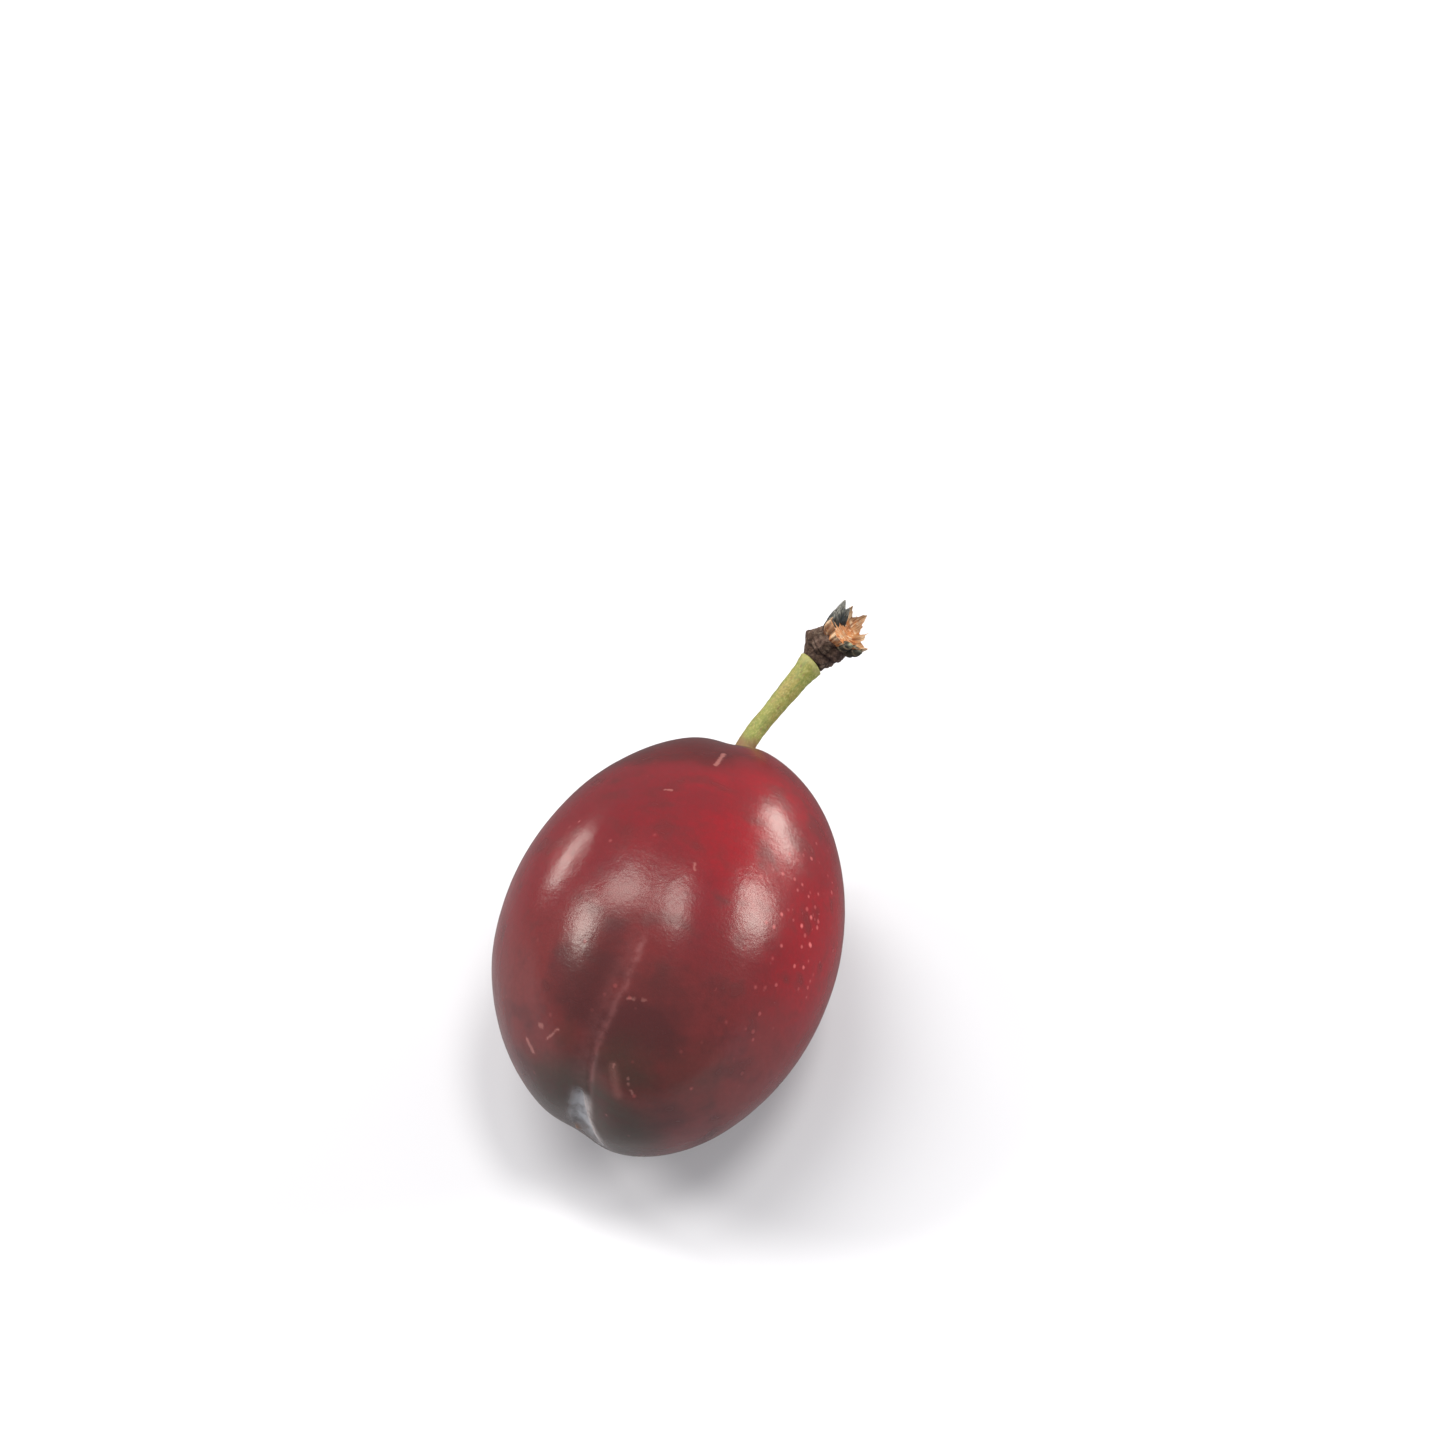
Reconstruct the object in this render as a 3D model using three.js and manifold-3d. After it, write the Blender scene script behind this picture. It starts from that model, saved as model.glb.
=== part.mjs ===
// A ripe plum, as picked: the fruit, its stalk, and the knot of spur wood the stalk grew from.
//
// Millimetres, +Z up. The fruit lies on its side, its tip towards -Y and its stalk end towards +Y,
// with its seam near the top. The origin is the centre of the small flat spot that it rests on.

import * as THREE from 'three';
import { mergeVertices } from 'three/addons/utils/BufferGeometryUtils.js';
import Module from 'manifold-3d';

const wasm = await Module();
wasm.setup();

// ---- Fruit: the smooth form, in the fruit's own axes (Y through the ends, Z near the seam) ----

const LENGTH = 58.1;            // tip to stalk end
const WIDTH = 43.2;             // cheek to cheek
const DEPTH = 42.4;             // seam to back
const END_TAPER = 0.044;        // share of the girth that both ends lose
const BELLY = { side: -1.3, up: -0.55 };        // how far the girth's middle lies off the axis
const SHOULDERS = { side: -0.7, up: -0.3 };     // the same towards the tip, and its opposite by the stalk
const LOBES = { side: -0.016, up: 0.008 };      // how far the cross-section is from round, in three lobes
const TIP_OFFSET = { side: -0.18, up: -0.03 };  // where the skin's pole lies off the middle of the tip
const STALK_OFFSET = { side: -0.05, up: 0 };    // where the hollow lies off the middle of the stalk end

// ---- Fruit: the seam, the cleft at the tip and the hollow round the stalk ----

// Radians, for one to five half waves from end to end.
const SEAM_WANDER = [-0.18, 0.037, -0.104, -0.007, -0.046];
const VALLEY = {                // the wide dip along the seam: its depth, and what it gains by the stalk
  width: 3.0, middle: 0.14, stalk: 0.5, stalkAt: 2.75, stalkReach: 0.4,
};
const SEAM_LINE = {             // the fine line in the dip: where it fades, and what it gains by the tip
  width: 0.45, depth: 0.08, fadeFrom: 1.2, fadeTo: 1.5, tip: 0.2, tipAt: 0.4, tipReach: 0.2,
};
const TIP_SADDLE = {            // the dip over the tip, from the seam to the back between two lobes
  depth: 1.4, width: 3.8, middle: -0.9, reach: 0.5,
};
const CLEFT = {                 // the wedge-shaped cleft on the tip: its edges, as [up, across] from the pole
  depth: 0.5,
  left: [[-4, -1.7], [-2.3, -1.9], [1.6, -2.3], [5, -2.1]],
  right: [[-4, 3.4], [-2.1, 2.2], [-0.3, 1.1], [0.9, -0.1], [2.7, -0.65], [5.5, -0.95]],
  lowEnd: [-5, -3],
  highEnd: [4.6, 6.4],
};
const SEAM_FADE = 1.6;          // the seam dies out this far past either end
const STYLE_SCAR = { radius: 0.45, height: 0.3, across: -0.7, up: -5 };     // a nub below the cleft
const HOLLOW = { radius: 2.9, depth: 2.0 };
const SOCKET = { radius: 2.0, depth: 0.9, wall: 0.4 };

// ---- Fruit: how it lies ----

const ROLL = THREE.MathUtils.degToRad(15.5);    // turn about Y that brings the seam to the top
const CENTRE = new THREE.Vector3(1.5, -0.05, 20.3);     // middle of the fruit above the rest spot

// ---- Stalk ----

const STALK = { length: 19.45, radius: 1.22, upperRadius: 1.45, rimRadius: 1.75 };
const STALK_LEAN = new THREE.Vector3(0.359, 0.922, 0.145).normalize();  // from the hollow to the spur
const STALK_BEND = 9.0;         // length of the bend between the socket's axis and the lean
const RIM_SLANT = 0.2;          // how much further the rim reaches on one side, per millimetre across
const SLANT_FADE = 8;           // power of the share along the stalk by which the slant dies out
const JOINT_GAP = 0.3;          // air between two pieces that touch

// ---- Spur ----

const SPUR_AXIS = new THREE.Vector3(0.683, 0.382, 0.623).normalize();   // from its foot to the torn end
const SPUR_MIDDLE = new THREE.Vector3(1.2, 2.67, 0.68);     // from the middle of the stalk's rim
const KNOB = { length: 5.8, radius: 2.6, rings: 4, ringDepth: 0.14 };
const HEART = 2.9;              // the torn end's heart, along the axis from the spur's middle
const SEAT = { radius: 1.65, foot: 2.0, length: 2.6 };      // the short neck a stalk stands on
const OLD_SEAT = {              // where a second stalk stood: its rim from the spur's middle, its heading
  rim: new THREE.Vector3(-2.55, -0.45, 0.4),
  inwards: new THREE.Vector3(0.88, 0.38, -0.05).normalize(),
};
const TORN = { root: -2.2, hollow: 0.2, reach: 2.2, rise: 0.5, sharpness: 5 };  // the cup of torn wood
const SPLINTERS = [             // each tip: turn about the axis, reach from it, rise above the heart
  { turn: 2.0, reach: 3.0, rise: 0.4 },
  { turn: 1.43, reach: 4.0, rise: 1.0 },
  { turn: -0.1, reach: 3.6, rise: 2.4 },
  { turn: -0.75, reach: 3.6, rise: 3.0 },
  { turn: -1.85, reach: 1.8, rise: 2.9 },
  { turn: -2.6, reach: 3.3, rise: 2.4 },
];
const BUDS = [                  // five scales and two round buds, their tips placed as the splinters' are
  { turn: 0.15, reach: 3.0, rise: 2.3, radius: 0.75 },
  { turn: 0.4, reach: 4.0, rise: 2.6, radius: 0.8 },
  { turn: 0.68, reach: 3.5, rise: 2.1, radius: 0.75 },
  { turn: 0.95, reach: 3.5, rise: 1.4, radius: 0.8 },
  { turn: 1.2, reach: 3.5, rise: 0.8, radius: 0.75 },
  { turn: 2.9, reach: 2.6, rise: 1.3, radius: 0.75 },
  { turn: -2.75, reach: 3.3, rise: 1.4, radius: 0.9 },
];
const BUD_ROOT = { reach: 1.5, rise: -1.0 };

// ---- Fineness ----

const FRUIT_GRID = { around: 80, along: 46 };
const STALK_SIDES = 16;
const SPUR_GRID = { around: 24, along: 22 };
const TORN_GRID = { around: 48, along: 12 };

/** 1 at the centre, falling off as a bell to either side. */
function bell(value, centre, reach) {
  return Math.exp(-(((value - centre) / reach) ** 2));
}

/** A closed surface from a function of two shares: once round, and from one pole to the other. */
function closedSurface(around, along, pointAt) {
  const geometry = new THREE.SphereGeometry(1, around, along);
  const share = geometry.getAttribute('uv');
  const position = geometry.getAttribute('position');
  for (let i = 0; i < position.count; i += 1) {
    const point = pointAt((1 - share.getX(i)) % 1, 1 - share.getY(i));
    position.setXYZ(i, point.x, point.y, point.z);
  }
  return positionsOnly(geometry);
}

/** The geometry with shared vertices merged, which is what makes it a closed body. */
function positionsOnly(geometry) {
  geometry.deleteAttribute('normal');
  geometry.deleteAttribute('uv');
  return mergeVertices(geometry, 1e-4);
}

// ------------------------------------------------------------------------------------ fruit

/** Point of the smooth form in a unit direction from the fruit's middle. */
function smoothForm(direction) {
  const { x, z } = direction;
  const tipwards = -direction.y;
  const outwards = x * x + z * z;
  const upLobe = LOBES.up * (4 * z ** 3 - 3 * z * outwards);
  const sideLobe = LOBES.side * (3 * x * outwards - 4 * x ** 3);
  const girth = 1 - END_TAPER * tipwards ** 2 + upLobe + sideLobe;
  return new THREE.Vector3(
    (WIDTH / 2) * girth * x + outwards * (BELLY.side + SHOULDERS.side * tipwards),
    -(LENGTH / 2) * tipwards,
    (DEPTH / 2) * girth * z + outwards * (BELLY.up + SHOULDERS.up * tipwards),
  );
}

/** Unit direction at an angle from the tip's pole and an angle round the fruit. */
function fruitDirection(fromTip, round) {
  const nearTip = (1 + Math.cos(fromTip)) / 2;
  const nearStalk = 1 - nearTip;
  return new THREE.Vector3(
    Math.sin(fromTip) * Math.sin(round) + TIP_OFFSET.side * nearTip + STALK_OFFSET.side * nearStalk,
    -Math.cos(fromTip),
    Math.sin(fromTip) * Math.cos(round) + TIP_OFFSET.up * nearTip + STALK_OFFSET.up * nearStalk,
  ).normalize();
}

/** Angle round the fruit at which the seam runs, at an angle from the tip. */
function seamAngle(fromTip) {
  return SEAM_WANDER.reduce((sum, wave, i) => sum + wave * Math.sin((i + 1) * fromTip), 0);
}

/** Value at a place along a line of [place, value] corners, and the end values beyond them. */
function valueAlong(corners, place) {
  const next = corners.findIndex(([corner]) => corner > place);
  if (next === 0) return corners[0][1];
  if (next < 0) return corners.at(-1)[1];
  const [[from, start], [to, end]] = corners.slice(next - 1, next + 1);
  return THREE.MathUtils.mapLinear(place, from, to, start, end);
}

/** Depth of the seam at a place on the skin: the wide dip and the fine line in it. */
function seamDepth(fromTip, across, up) {
  const { smoothstep } = THREE.MathUtils;
  const seamSide = smoothstep(up, -SEAM_FADE, SEAM_FADE);
  const valley = VALLEY.middle + VALLEY.stalk * bell(fromTip, VALLEY.stalkAt, VALLEY.stalkReach);
  const lineMiddle = SEAM_LINE.depth * (1 - smoothstep(fromTip, SEAM_LINE.fadeFrom, SEAM_LINE.fadeTo));
  const line = lineMiddle + SEAM_LINE.tip * bell(fromTip, SEAM_LINE.tipAt, SEAM_LINE.tipReach);
  return seamSide * (valley * bell(across, 0, VALLEY.width) + line * bell(across, 0, SEAM_LINE.width));
}

/** 1 within the wedge-shaped cleft on the tip, with soft edges to 0 round it. */
function cleftShare(across, up) {
  const { smoothstep } = THREE.MathUtils;
  const left = valueAlong(CLEFT.left, up);
  const right = valueAlong(CLEFT.right, up);
  const pastLeft = smoothstep(across, left - 0.3, left + 0.4);
  const pastRight = smoothstep(across, right - 0.5, right + 0.1);
  const within = smoothstep(up, ...CLEFT.lowEnd) * (1 - smoothstep(up, ...CLEFT.highEnd));
  return pastLeft * (1 - pastRight) * within;
}

/** Depth of the skin on the tip: the dip over it, the cleft, and the style scar's nub. */
function tipDepth(fromTip, across, up) {
  const overTip = bell(across, TIP_SADDLE.middle, TIP_SADDLE.width) * bell(fromTip, 0, TIP_SADDLE.reach);
  const { radius } = STYLE_SCAR;
  const nub = bell(across, STYLE_SCAR.across, radius) * bell(up, STYLE_SCAR.up, radius);
  return TIP_SADDLE.depth * overTip + CLEFT.depth * cleftShare(across, up) - STYLE_SCAR.height * nub;
}

/** Depth of the hollow at the stalk end, with the stalk's socket in its floor. */
function hollowDepth(ring) {
  const inSocket = 1 - THREE.MathUtils.smoothstep(ring, SOCKET.radius - SOCKET.wall, SOCKET.radius);
  return HOLLOW.depth * bell(ring, 0, HOLLOW.radius) + SOCKET.depth * inSocket;
}

/** How far the skin lies below the smooth form, at an angle from the tip and one from the seam. */
function skinDepth(fromTip, fromSeam) {
  const ring = (WIDTH / 2) * Math.sin(fromTip);
  const across = ring * Math.sin(fromSeam);
  const up = ring * Math.cos(fromSeam);
  const end = fromTip < Math.PI / 2 ? tipDepth(fromTip, across, up) : hollowDepth(ring);
  return seamDepth(fromTip, across, up) + end;
}

/** From the fruit's own axes to where the fruit lies. */
function laid(point) {
  return point.applyAxisAngle(new THREE.Vector3(0, 1, 0), ROLL).add(CENTRE);
}

/** Point of the skin for shares of the way round from the seam and from the tip to the stalk end. */
function skinPoint(roundShare, endShare) {
  const turn = 2 * Math.PI * roundShare;
  const fromSeam = turn - 0.3 * Math.sin(2 * turn);
  const fromTip = Math.PI * endShare - 0.25 * Math.sin(2 * Math.PI * endShare);
  const form = smoothForm(fruitDirection(fromTip, seamAngle(fromTip) + fromSeam));
  const outward = new THREE.Vector3(form.x / WIDTH ** 2, form.y / LENGTH ** 2, form.z / DEPTH ** 2);
  const skin = laid(form.addScaledVector(outward.normalize(), -skinDepth(fromTip, fromSeam)));
  skin.z = Math.max(skin.z, 0);
  return skin;
}

// ------------------------------------------------------------------------------------ stalk

/** The stalk's middle line, or a longer one: out of the socket along Y, bending to the stalk's lean. */
function stalkLine(extraLength = 0) {
  const foot = skinPoint(0, 1).add(new THREE.Vector3(0, JOINT_GAP, 0));
  const bend = foot.clone().add(new THREE.Vector3(0, STALK_BEND / 2, 0));
  const bendEnd = bend.clone().addScaledVector(STALK_LEAN, STALK_BEND / 2);
  const end = bend.clone().addScaledVector(STALK_LEAN, STALK.length + extraLength - STALK_BEND / 2);
  const line = new THREE.CurvePath();
  line.add(new THREE.QuadraticBezierCurve3(foot, bend, bendEnd));
  line.add(new THREE.LineCurve3(bendEnd, end));
  return line;
}

/** The stalk's radius from foot to rim, as the profile of a lathe with its ends on the axis. */
function stalkProfile() {
  const { radius, upperRadius, rimRadius } = STALK;
  const rings = [
    [0, 0], [0, 0.6], [0.012, 0.95], [0.04, radius], [0.2, radius], [0.35, radius + 0.03],
    [0.5, radius + 0.01], [0.63, radius + 0.06], [0.75, upperRadius - 0.05], [0.85, upperRadius],
    [0.92, upperRadius + 0.12], [0.975, rimRadius], [0.992, rimRadius], [1, rimRadius - 0.18], [1, 0],
  ];
  return rings.map(([share, across]) => new THREE.Vector2(across, share));
}

/** A lathe's solid, its height taken as a share of the way along a line, its end cut at a slant. */
function bentLathe(profile, sides, line, slant = 0) {
  const geometry = new THREE.LatheGeometry(profile, sides);
  const position = geometry.getAttribute('position');
  const up = new THREE.Vector3(0, 0, 1);
  for (let i = 0; i < position.count; i += 1) {
    const share = position.getY(i);
    const heading = line.getTangentAt(share);
    const side = new THREE.Vector3().crossVectors(heading, up).normalize();
    const over = new THREE.Vector3().crossVectors(side, heading);
    const point = line.getPointAt(share);
    point.addScaledVector(side, position.getX(i)).addScaledVector(over, position.getZ(i));
    point.addScaledVector(heading, -slant * position.getX(i) * share ** SLANT_FADE);
    position.setXYZ(i, point.x, point.y, point.z);
  }
  return positionsOnly(geometry);
}

// ------------------------------------------------------------------------------------- spur

/** Three axes at the spur: out to one side, out to the other, and along it. */
function spurAxes() {
  const along = SPUR_AXIS.clone();
  const first = new THREE.Vector3(0, 0, 1).cross(along).normalize();
  const second = along.clone().cross(first);
  return { first, second, along };
}

/** Direction square to the spur's axis at a turn about it. */
function spurSide(turn) {
  const { first, second } = spurAxes();
  return first.multiplyScalar(Math.cos(turn)).addScaledVector(second, Math.sin(turn));
}

/** The bark knob round the spur's middle: a stubby barrel with ring scars and uneven sides. */
function barkKnob(middle) {
  return closedSurface(SPUR_GRID.around, SPUR_GRID.along, (roundShare, endShare) => {
    const turn = 2 * Math.PI * roundShare;
    const height = -(KNOB.length / 2) * Math.cos(Math.PI * endShare);
    const barrel = Math.sin(Math.PI * endShare) ** 0.55;
    const ringScars = KNOB.ringDepth * Math.sin(2 * Math.PI * KNOB.rings * endShare + 0.6 * Math.sin(turn));
    const lumps = 0.16 * Math.sin(3 * turn + 1.1 + 2 * endShare) + 0.1 * Math.sin(5 * turn - 3 * endShare);
    return spurPoint(middle, turn, barrel * (KNOB.radius + ringScars + lumps), height);
  });
}

/** Point at a turn about the spur's axis, a reach from it and a rise along it. */
function spurPoint(from, turn, reach, rise) {
  return from.clone().addScaledVector(spurSide(turn), reach).addScaledVector(SPUR_AXIS, rise);
}

/** A pointed body from its root to its tip, such as a bud or a splinter. */
function pointedBody(root, tip, radius, sides) {
  const profile = [[0, 0], [0.8, 0.1], [1, 0.3], [0.78, 0.6], [0.34, 0.87], [0, 1]];
  const points = profile.map(([share, height]) => new THREE.Vector2(share * radius, height));
  return bentLathe(points, sides, new THREE.LineCurve3(root, tip));
}

/** Reach and rise of the torn rim at a turn about the axis, drawn out by the nearest splinter. */
function tornRim(turn) {
  const away = ({ turn: at }) => Math.abs(Math.sin((turn - at) / 2));
  const nearest = SPLINTERS.reduce((best, splinter) => (away(splinter) < away(best) ? splinter : best));
  const pull = Math.exp(-TORN.sharpness * away(nearest));
  return {
    reach: THREE.MathUtils.lerp(TORN.reach, nearest.reach, pull),
    rise: THREE.MathUtils.lerp(TORN.rise, nearest.rise, pull),
  };
}

/** The torn end: a ragged cup of wood, rooted in the knob, thick at its floor and sharp at its rim. */
function tornCup(middle) {
  const heart = spurPoint(middle, 0, 0, HEART);
  return closedSurface(TORN_GRID.around, TORN_GRID.along, (roundShare, endShare) => {
    const turn = 2 * Math.PI * roundShare;
    const rim = tornRim(turn);
    const outwards = 1 - Math.abs(2 * endShare - 1);
    const inside = endShare > 0.5;
    const floor = inside ? TORN.hollow : TORN.root;
    const height = THREE.MathUtils.lerp(floor, rim.rise, outwards ** (inside ? 2 : 1.5));
    return spurPoint(heart, turn, rim.reach * Math.sin((Math.PI / 2) * outwards), height);
  });
}

/** Buds and bud scales, rooted in the bark round the torn end. */
function buds(middle) {
  const heart = spurPoint(middle, 0, 0, HEART);
  return BUDS.map(({ turn, reach, rise, radius }) => {
    const root = spurPoint(heart, turn, BUD_ROOT.reach, BUD_ROOT.rise);
    return pointedBody(root, spurPoint(heart, turn, reach, rise), radius, 9);
  });
}

/** The short neck of bark between a stalk's rim and the knob, widening inwards. */
function stalkSeat(rim, inwards) {
  const profile = [[0, 0], [SEAT.radius * 0.9, 0], [SEAT.radius, 0.06], [SEAT.foot, 1], [0, 1]];
  const points = profile.map(([across, share]) => new THREE.Vector2(across, share));
  const foot = rim.clone().addScaledVector(inwards, SEAT.length);
  return bentLathe(points, STALK_SIDES, new THREE.LineCurve3(rim, foot));
}

/** A closed geometry as a solid that can be joined and cut. */
function solidOf(geometry) {
  return new wasm.Manifold(new wasm.Mesh({
    numProp: 3,
    vertProperties: new Float32Array(geometry.getAttribute('position').array),
    triVerts: new Uint32Array(geometry.index.array),
  }));
}

/** A joined or cut solid as a geometry again. */
function geometryOf(solid) {
  const mesh = solid.getMesh();
  const geometry = new THREE.BufferGeometry();
  geometry.setAttribute('position', new THREE.BufferAttribute(mesh.vertProperties, 3));
  geometry.setIndex(new THREE.BufferAttribute(mesh.triVerts, 1));
  return geometry;
}

/** The stalk, wider and longer by the joint's gap, which the spur is cut back from. */
function stalkClearance() {
  const wider = ({ x, y }) => new THREE.Vector2(x > 0 ? x + JOINT_GAP : 0, y);
  return bentLathe(stalkProfile().map(wider), STALK_SIDES, stalkLine(JOINT_GAP), RIM_SLANT);
}

/** The whole spur: bark, torn wood and buds grown together, cut clear of the stalk's slanted rim. */
function spurGeometry() {
  const rim = stalkLine().getPointAt(1);
  const middle = rim.clone().add(SPUR_MIDDLE);
  const seatStart = JOINT_GAP - RIM_SLANT * SEAT.radius;
  const seats = [
    stalkSeat(rim.clone().addScaledVector(STALK_LEAN, seatStart), STALK_LEAN),
    stalkSeat(middle.clone().add(OLD_SEAT.rim), OLD_SEAT.inwards),
  ];
  const grown = [barkKnob(middle), ...seats, tornCup(middle), ...buds(middle)];
  const whole = grown.map(solidOf).reduce((sum, part) => sum.add(part));
  return geometryOf(whole.subtract(solidOf(stalkClearance())));
}

// ------------------------------------------------------------------------------------ whole

/** A named piece in its own colour. */
function piece(name, geometry, color, roughness) {
  const material = new THREE.MeshStandardMaterial({ color, roughness, metalness: 0 });
  const mesh = new THREE.Mesh(geometry, material);
  mesh.name = name;
  return mesh;
}

const stalkGeometry = bentLathe(stalkProfile(), STALK_SIDES, stalkLine(), RIM_SLANT);
const plum = new THREE.Group();
plum.add(piece('fruit', closedSurface(FRUIT_GRID.around, FRUIT_GRID.along, skinPoint), 0x7d2a30, 0.35));
plum.add(piece('stalk', stalkGeometry, 0xa9b052, 0.6));
plum.add(piece('spur', spurGeometry(), 0x6f5a50, 0.85));

export default plum;
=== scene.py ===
"""A ripe plum, as picked: its skin, its stalk and the spur wood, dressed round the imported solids.

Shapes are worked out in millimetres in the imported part's own frame, and a mesh is written in metres.
The fruit lies on its side with its tip towards -Y, its stalk end towards +Y and its seam near the top.
"""

import logging
import math
from dataclasses import dataclass, field
from enum import Enum

import bpy
import numpy as np
from mathutils import Matrix, Vector


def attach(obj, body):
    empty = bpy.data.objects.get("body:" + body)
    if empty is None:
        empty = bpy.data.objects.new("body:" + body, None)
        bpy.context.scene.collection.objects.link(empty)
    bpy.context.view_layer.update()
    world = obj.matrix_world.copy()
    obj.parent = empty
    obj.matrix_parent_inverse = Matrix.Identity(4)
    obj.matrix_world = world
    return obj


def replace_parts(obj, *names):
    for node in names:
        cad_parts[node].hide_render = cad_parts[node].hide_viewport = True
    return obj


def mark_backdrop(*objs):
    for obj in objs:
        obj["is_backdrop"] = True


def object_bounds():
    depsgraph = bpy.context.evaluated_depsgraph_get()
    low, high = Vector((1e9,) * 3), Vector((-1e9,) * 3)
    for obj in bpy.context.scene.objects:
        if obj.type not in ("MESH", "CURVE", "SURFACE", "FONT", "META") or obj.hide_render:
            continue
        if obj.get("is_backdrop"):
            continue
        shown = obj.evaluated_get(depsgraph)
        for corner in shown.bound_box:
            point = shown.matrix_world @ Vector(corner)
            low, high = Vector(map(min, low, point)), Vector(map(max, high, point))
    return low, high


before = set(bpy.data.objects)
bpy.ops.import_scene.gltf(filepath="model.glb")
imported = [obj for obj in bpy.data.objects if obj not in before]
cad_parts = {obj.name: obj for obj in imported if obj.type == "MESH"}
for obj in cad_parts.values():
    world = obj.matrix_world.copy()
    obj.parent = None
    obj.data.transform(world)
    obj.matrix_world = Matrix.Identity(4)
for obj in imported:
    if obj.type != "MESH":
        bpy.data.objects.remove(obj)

Array = np.ndarray
Object = bpy.types.Object
Material = bpy.types.Material
Socket = bpy.types.NodeSocket
Sockets = bpy.types.bpy_prop_collection
Where = Socket | None
Pair = tuple[float, float]
Grid = tuple[int, int]
Triple = tuple[float, float, float]
Tint = tuple[float, float, float, float]

CAD_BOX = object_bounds()
MM = 0.001
BODY = "root"
LOG = logging.getLogger("plum")
WAVES = 18
CURVE_POINTS = 60
STRAIGHT_POINTS = 80
ALONG = np.array([0.0, 1.0, 0.0])
UP = np.array([0.0, 0.0, 1.0])


# Shapes in numbers


def bell(value: Array, centre: float | Array, reach: float) -> Array:
    """1 at the centre, falling off as exp of minus the squared share of the reach."""
    return np.exp(-(((value - centre) / reach) ** 2))


def smooth_step(value: Array, low: float | Array, high: float | Array) -> Array:
    """0 below low, 1 above high, and 3 t squared less 2 t cubed between them."""
    share = np.clip((value - low) / (high - low), 0.0, 1.0)
    return share * share * (3.0 - 2.0 * share)


def band(value: Array, rise: tuple, fall: tuple) -> Array:
    """A smooth step up over the rise, and down again over the fall."""
    return smooth_step(value, *rise) * (1.0 - smooth_step(value, *fall))


def unit(vectors: Array) -> Array:
    """Vectors at length one."""
    return vectors / np.linalg.norm(vectors, axis=-1, keepdims=True)


def turns(count: int) -> Array:
    """Evenly spaced angles once round."""
    return np.linspace(0.0, 2.0 * math.pi, count, endpoint=False)


def grid(rows: int, columns: int) -> tuple[Array, Array]:
    """Shares of the way along and angles once round, for each point of a grid."""
    return tuple(np.meshgrid(np.linspace(0.0, 1.0, rows), turns(columns), indexing="ij"))


def ripple(points: Array, wavelength: float, seed: int) -> Array:
    """Uneven waves through space: the sum of sines along seeded directions, mostly from -1 to 1.

    Args:
        points: where the waves are read, with three numbers in the last axis.
        wavelength: the usual distance from crest to crest.
        seed: picks the directions and phases.

    Returns:
        The height of the waves at each point.
    """
    draw = np.random.default_rng(seed)
    lengths = wavelength * draw.uniform(0.7, 1.5, (WAVES, 1))
    headings = unit(draw.normal(size=(WAVES, 3))) * 2.0 * math.pi / lengths
    phases = draw.uniform(0.0, 2.0 * math.pi, WAVES)
    return np.sin(points @ headings.T + phases).sum(axis=-1) / math.sqrt(2.0 * WAVES)


def crease(points: Array, wavelength: float, seed: int) -> Array:
    """1 along the narrow lines where the ripple changes sign, falling to 0 between them."""
    return 1.0 - np.clip(np.abs(ripple(points, wavelength, seed)) * 3.0, 0.0, 1.0)


def outline(knots: list[Pair], count: int, length: float = 1.0) -> tuple[Array, Array]:
    """A smooth outline through knots, each stretch a cubic whose ends head for their neighbours' chord.

    Args:
        knots: its points, each a share of the way along and the reach there.
        count: how many points the outline gets.
        length: the whole way along, in the reach's unit.

    Returns:
        The shares, held from 0 to 1, and the reaches, held above 0.
    """
    scale = np.array([length, 1.0])
    points = np.array(knots) * scale
    steps = np.linalg.norm(np.diff(points, axis=0), axis=1)
    at_knot = np.concatenate([[0.0], np.cumsum(steps)])
    slopes = np.gradient(points, at_knot, axis=0)
    where = np.linspace(0.0, at_knot[-1], count)
    left = np.clip(np.searchsorted(at_knot, where, side="right") - 1, 0, len(steps) - 1)
    span = steps[left][:, None]
    t = (where - at_knot[left])[:, None] / span
    start = (1.0 + 2.0 * t) * (1.0 - t) ** 2 * points[left] + t * (1.0 - t) ** 2 * span * slopes[left]
    end = t**2 * (3.0 - 2.0 * t) * points[left + 1] + t**2 * (t - 1.0) * span * slopes[left + 1]
    share, reach = ((start + end) / scale).T
    return np.clip(share, 0.0, 1.0), np.clip(reach, 0.0, None)


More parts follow.
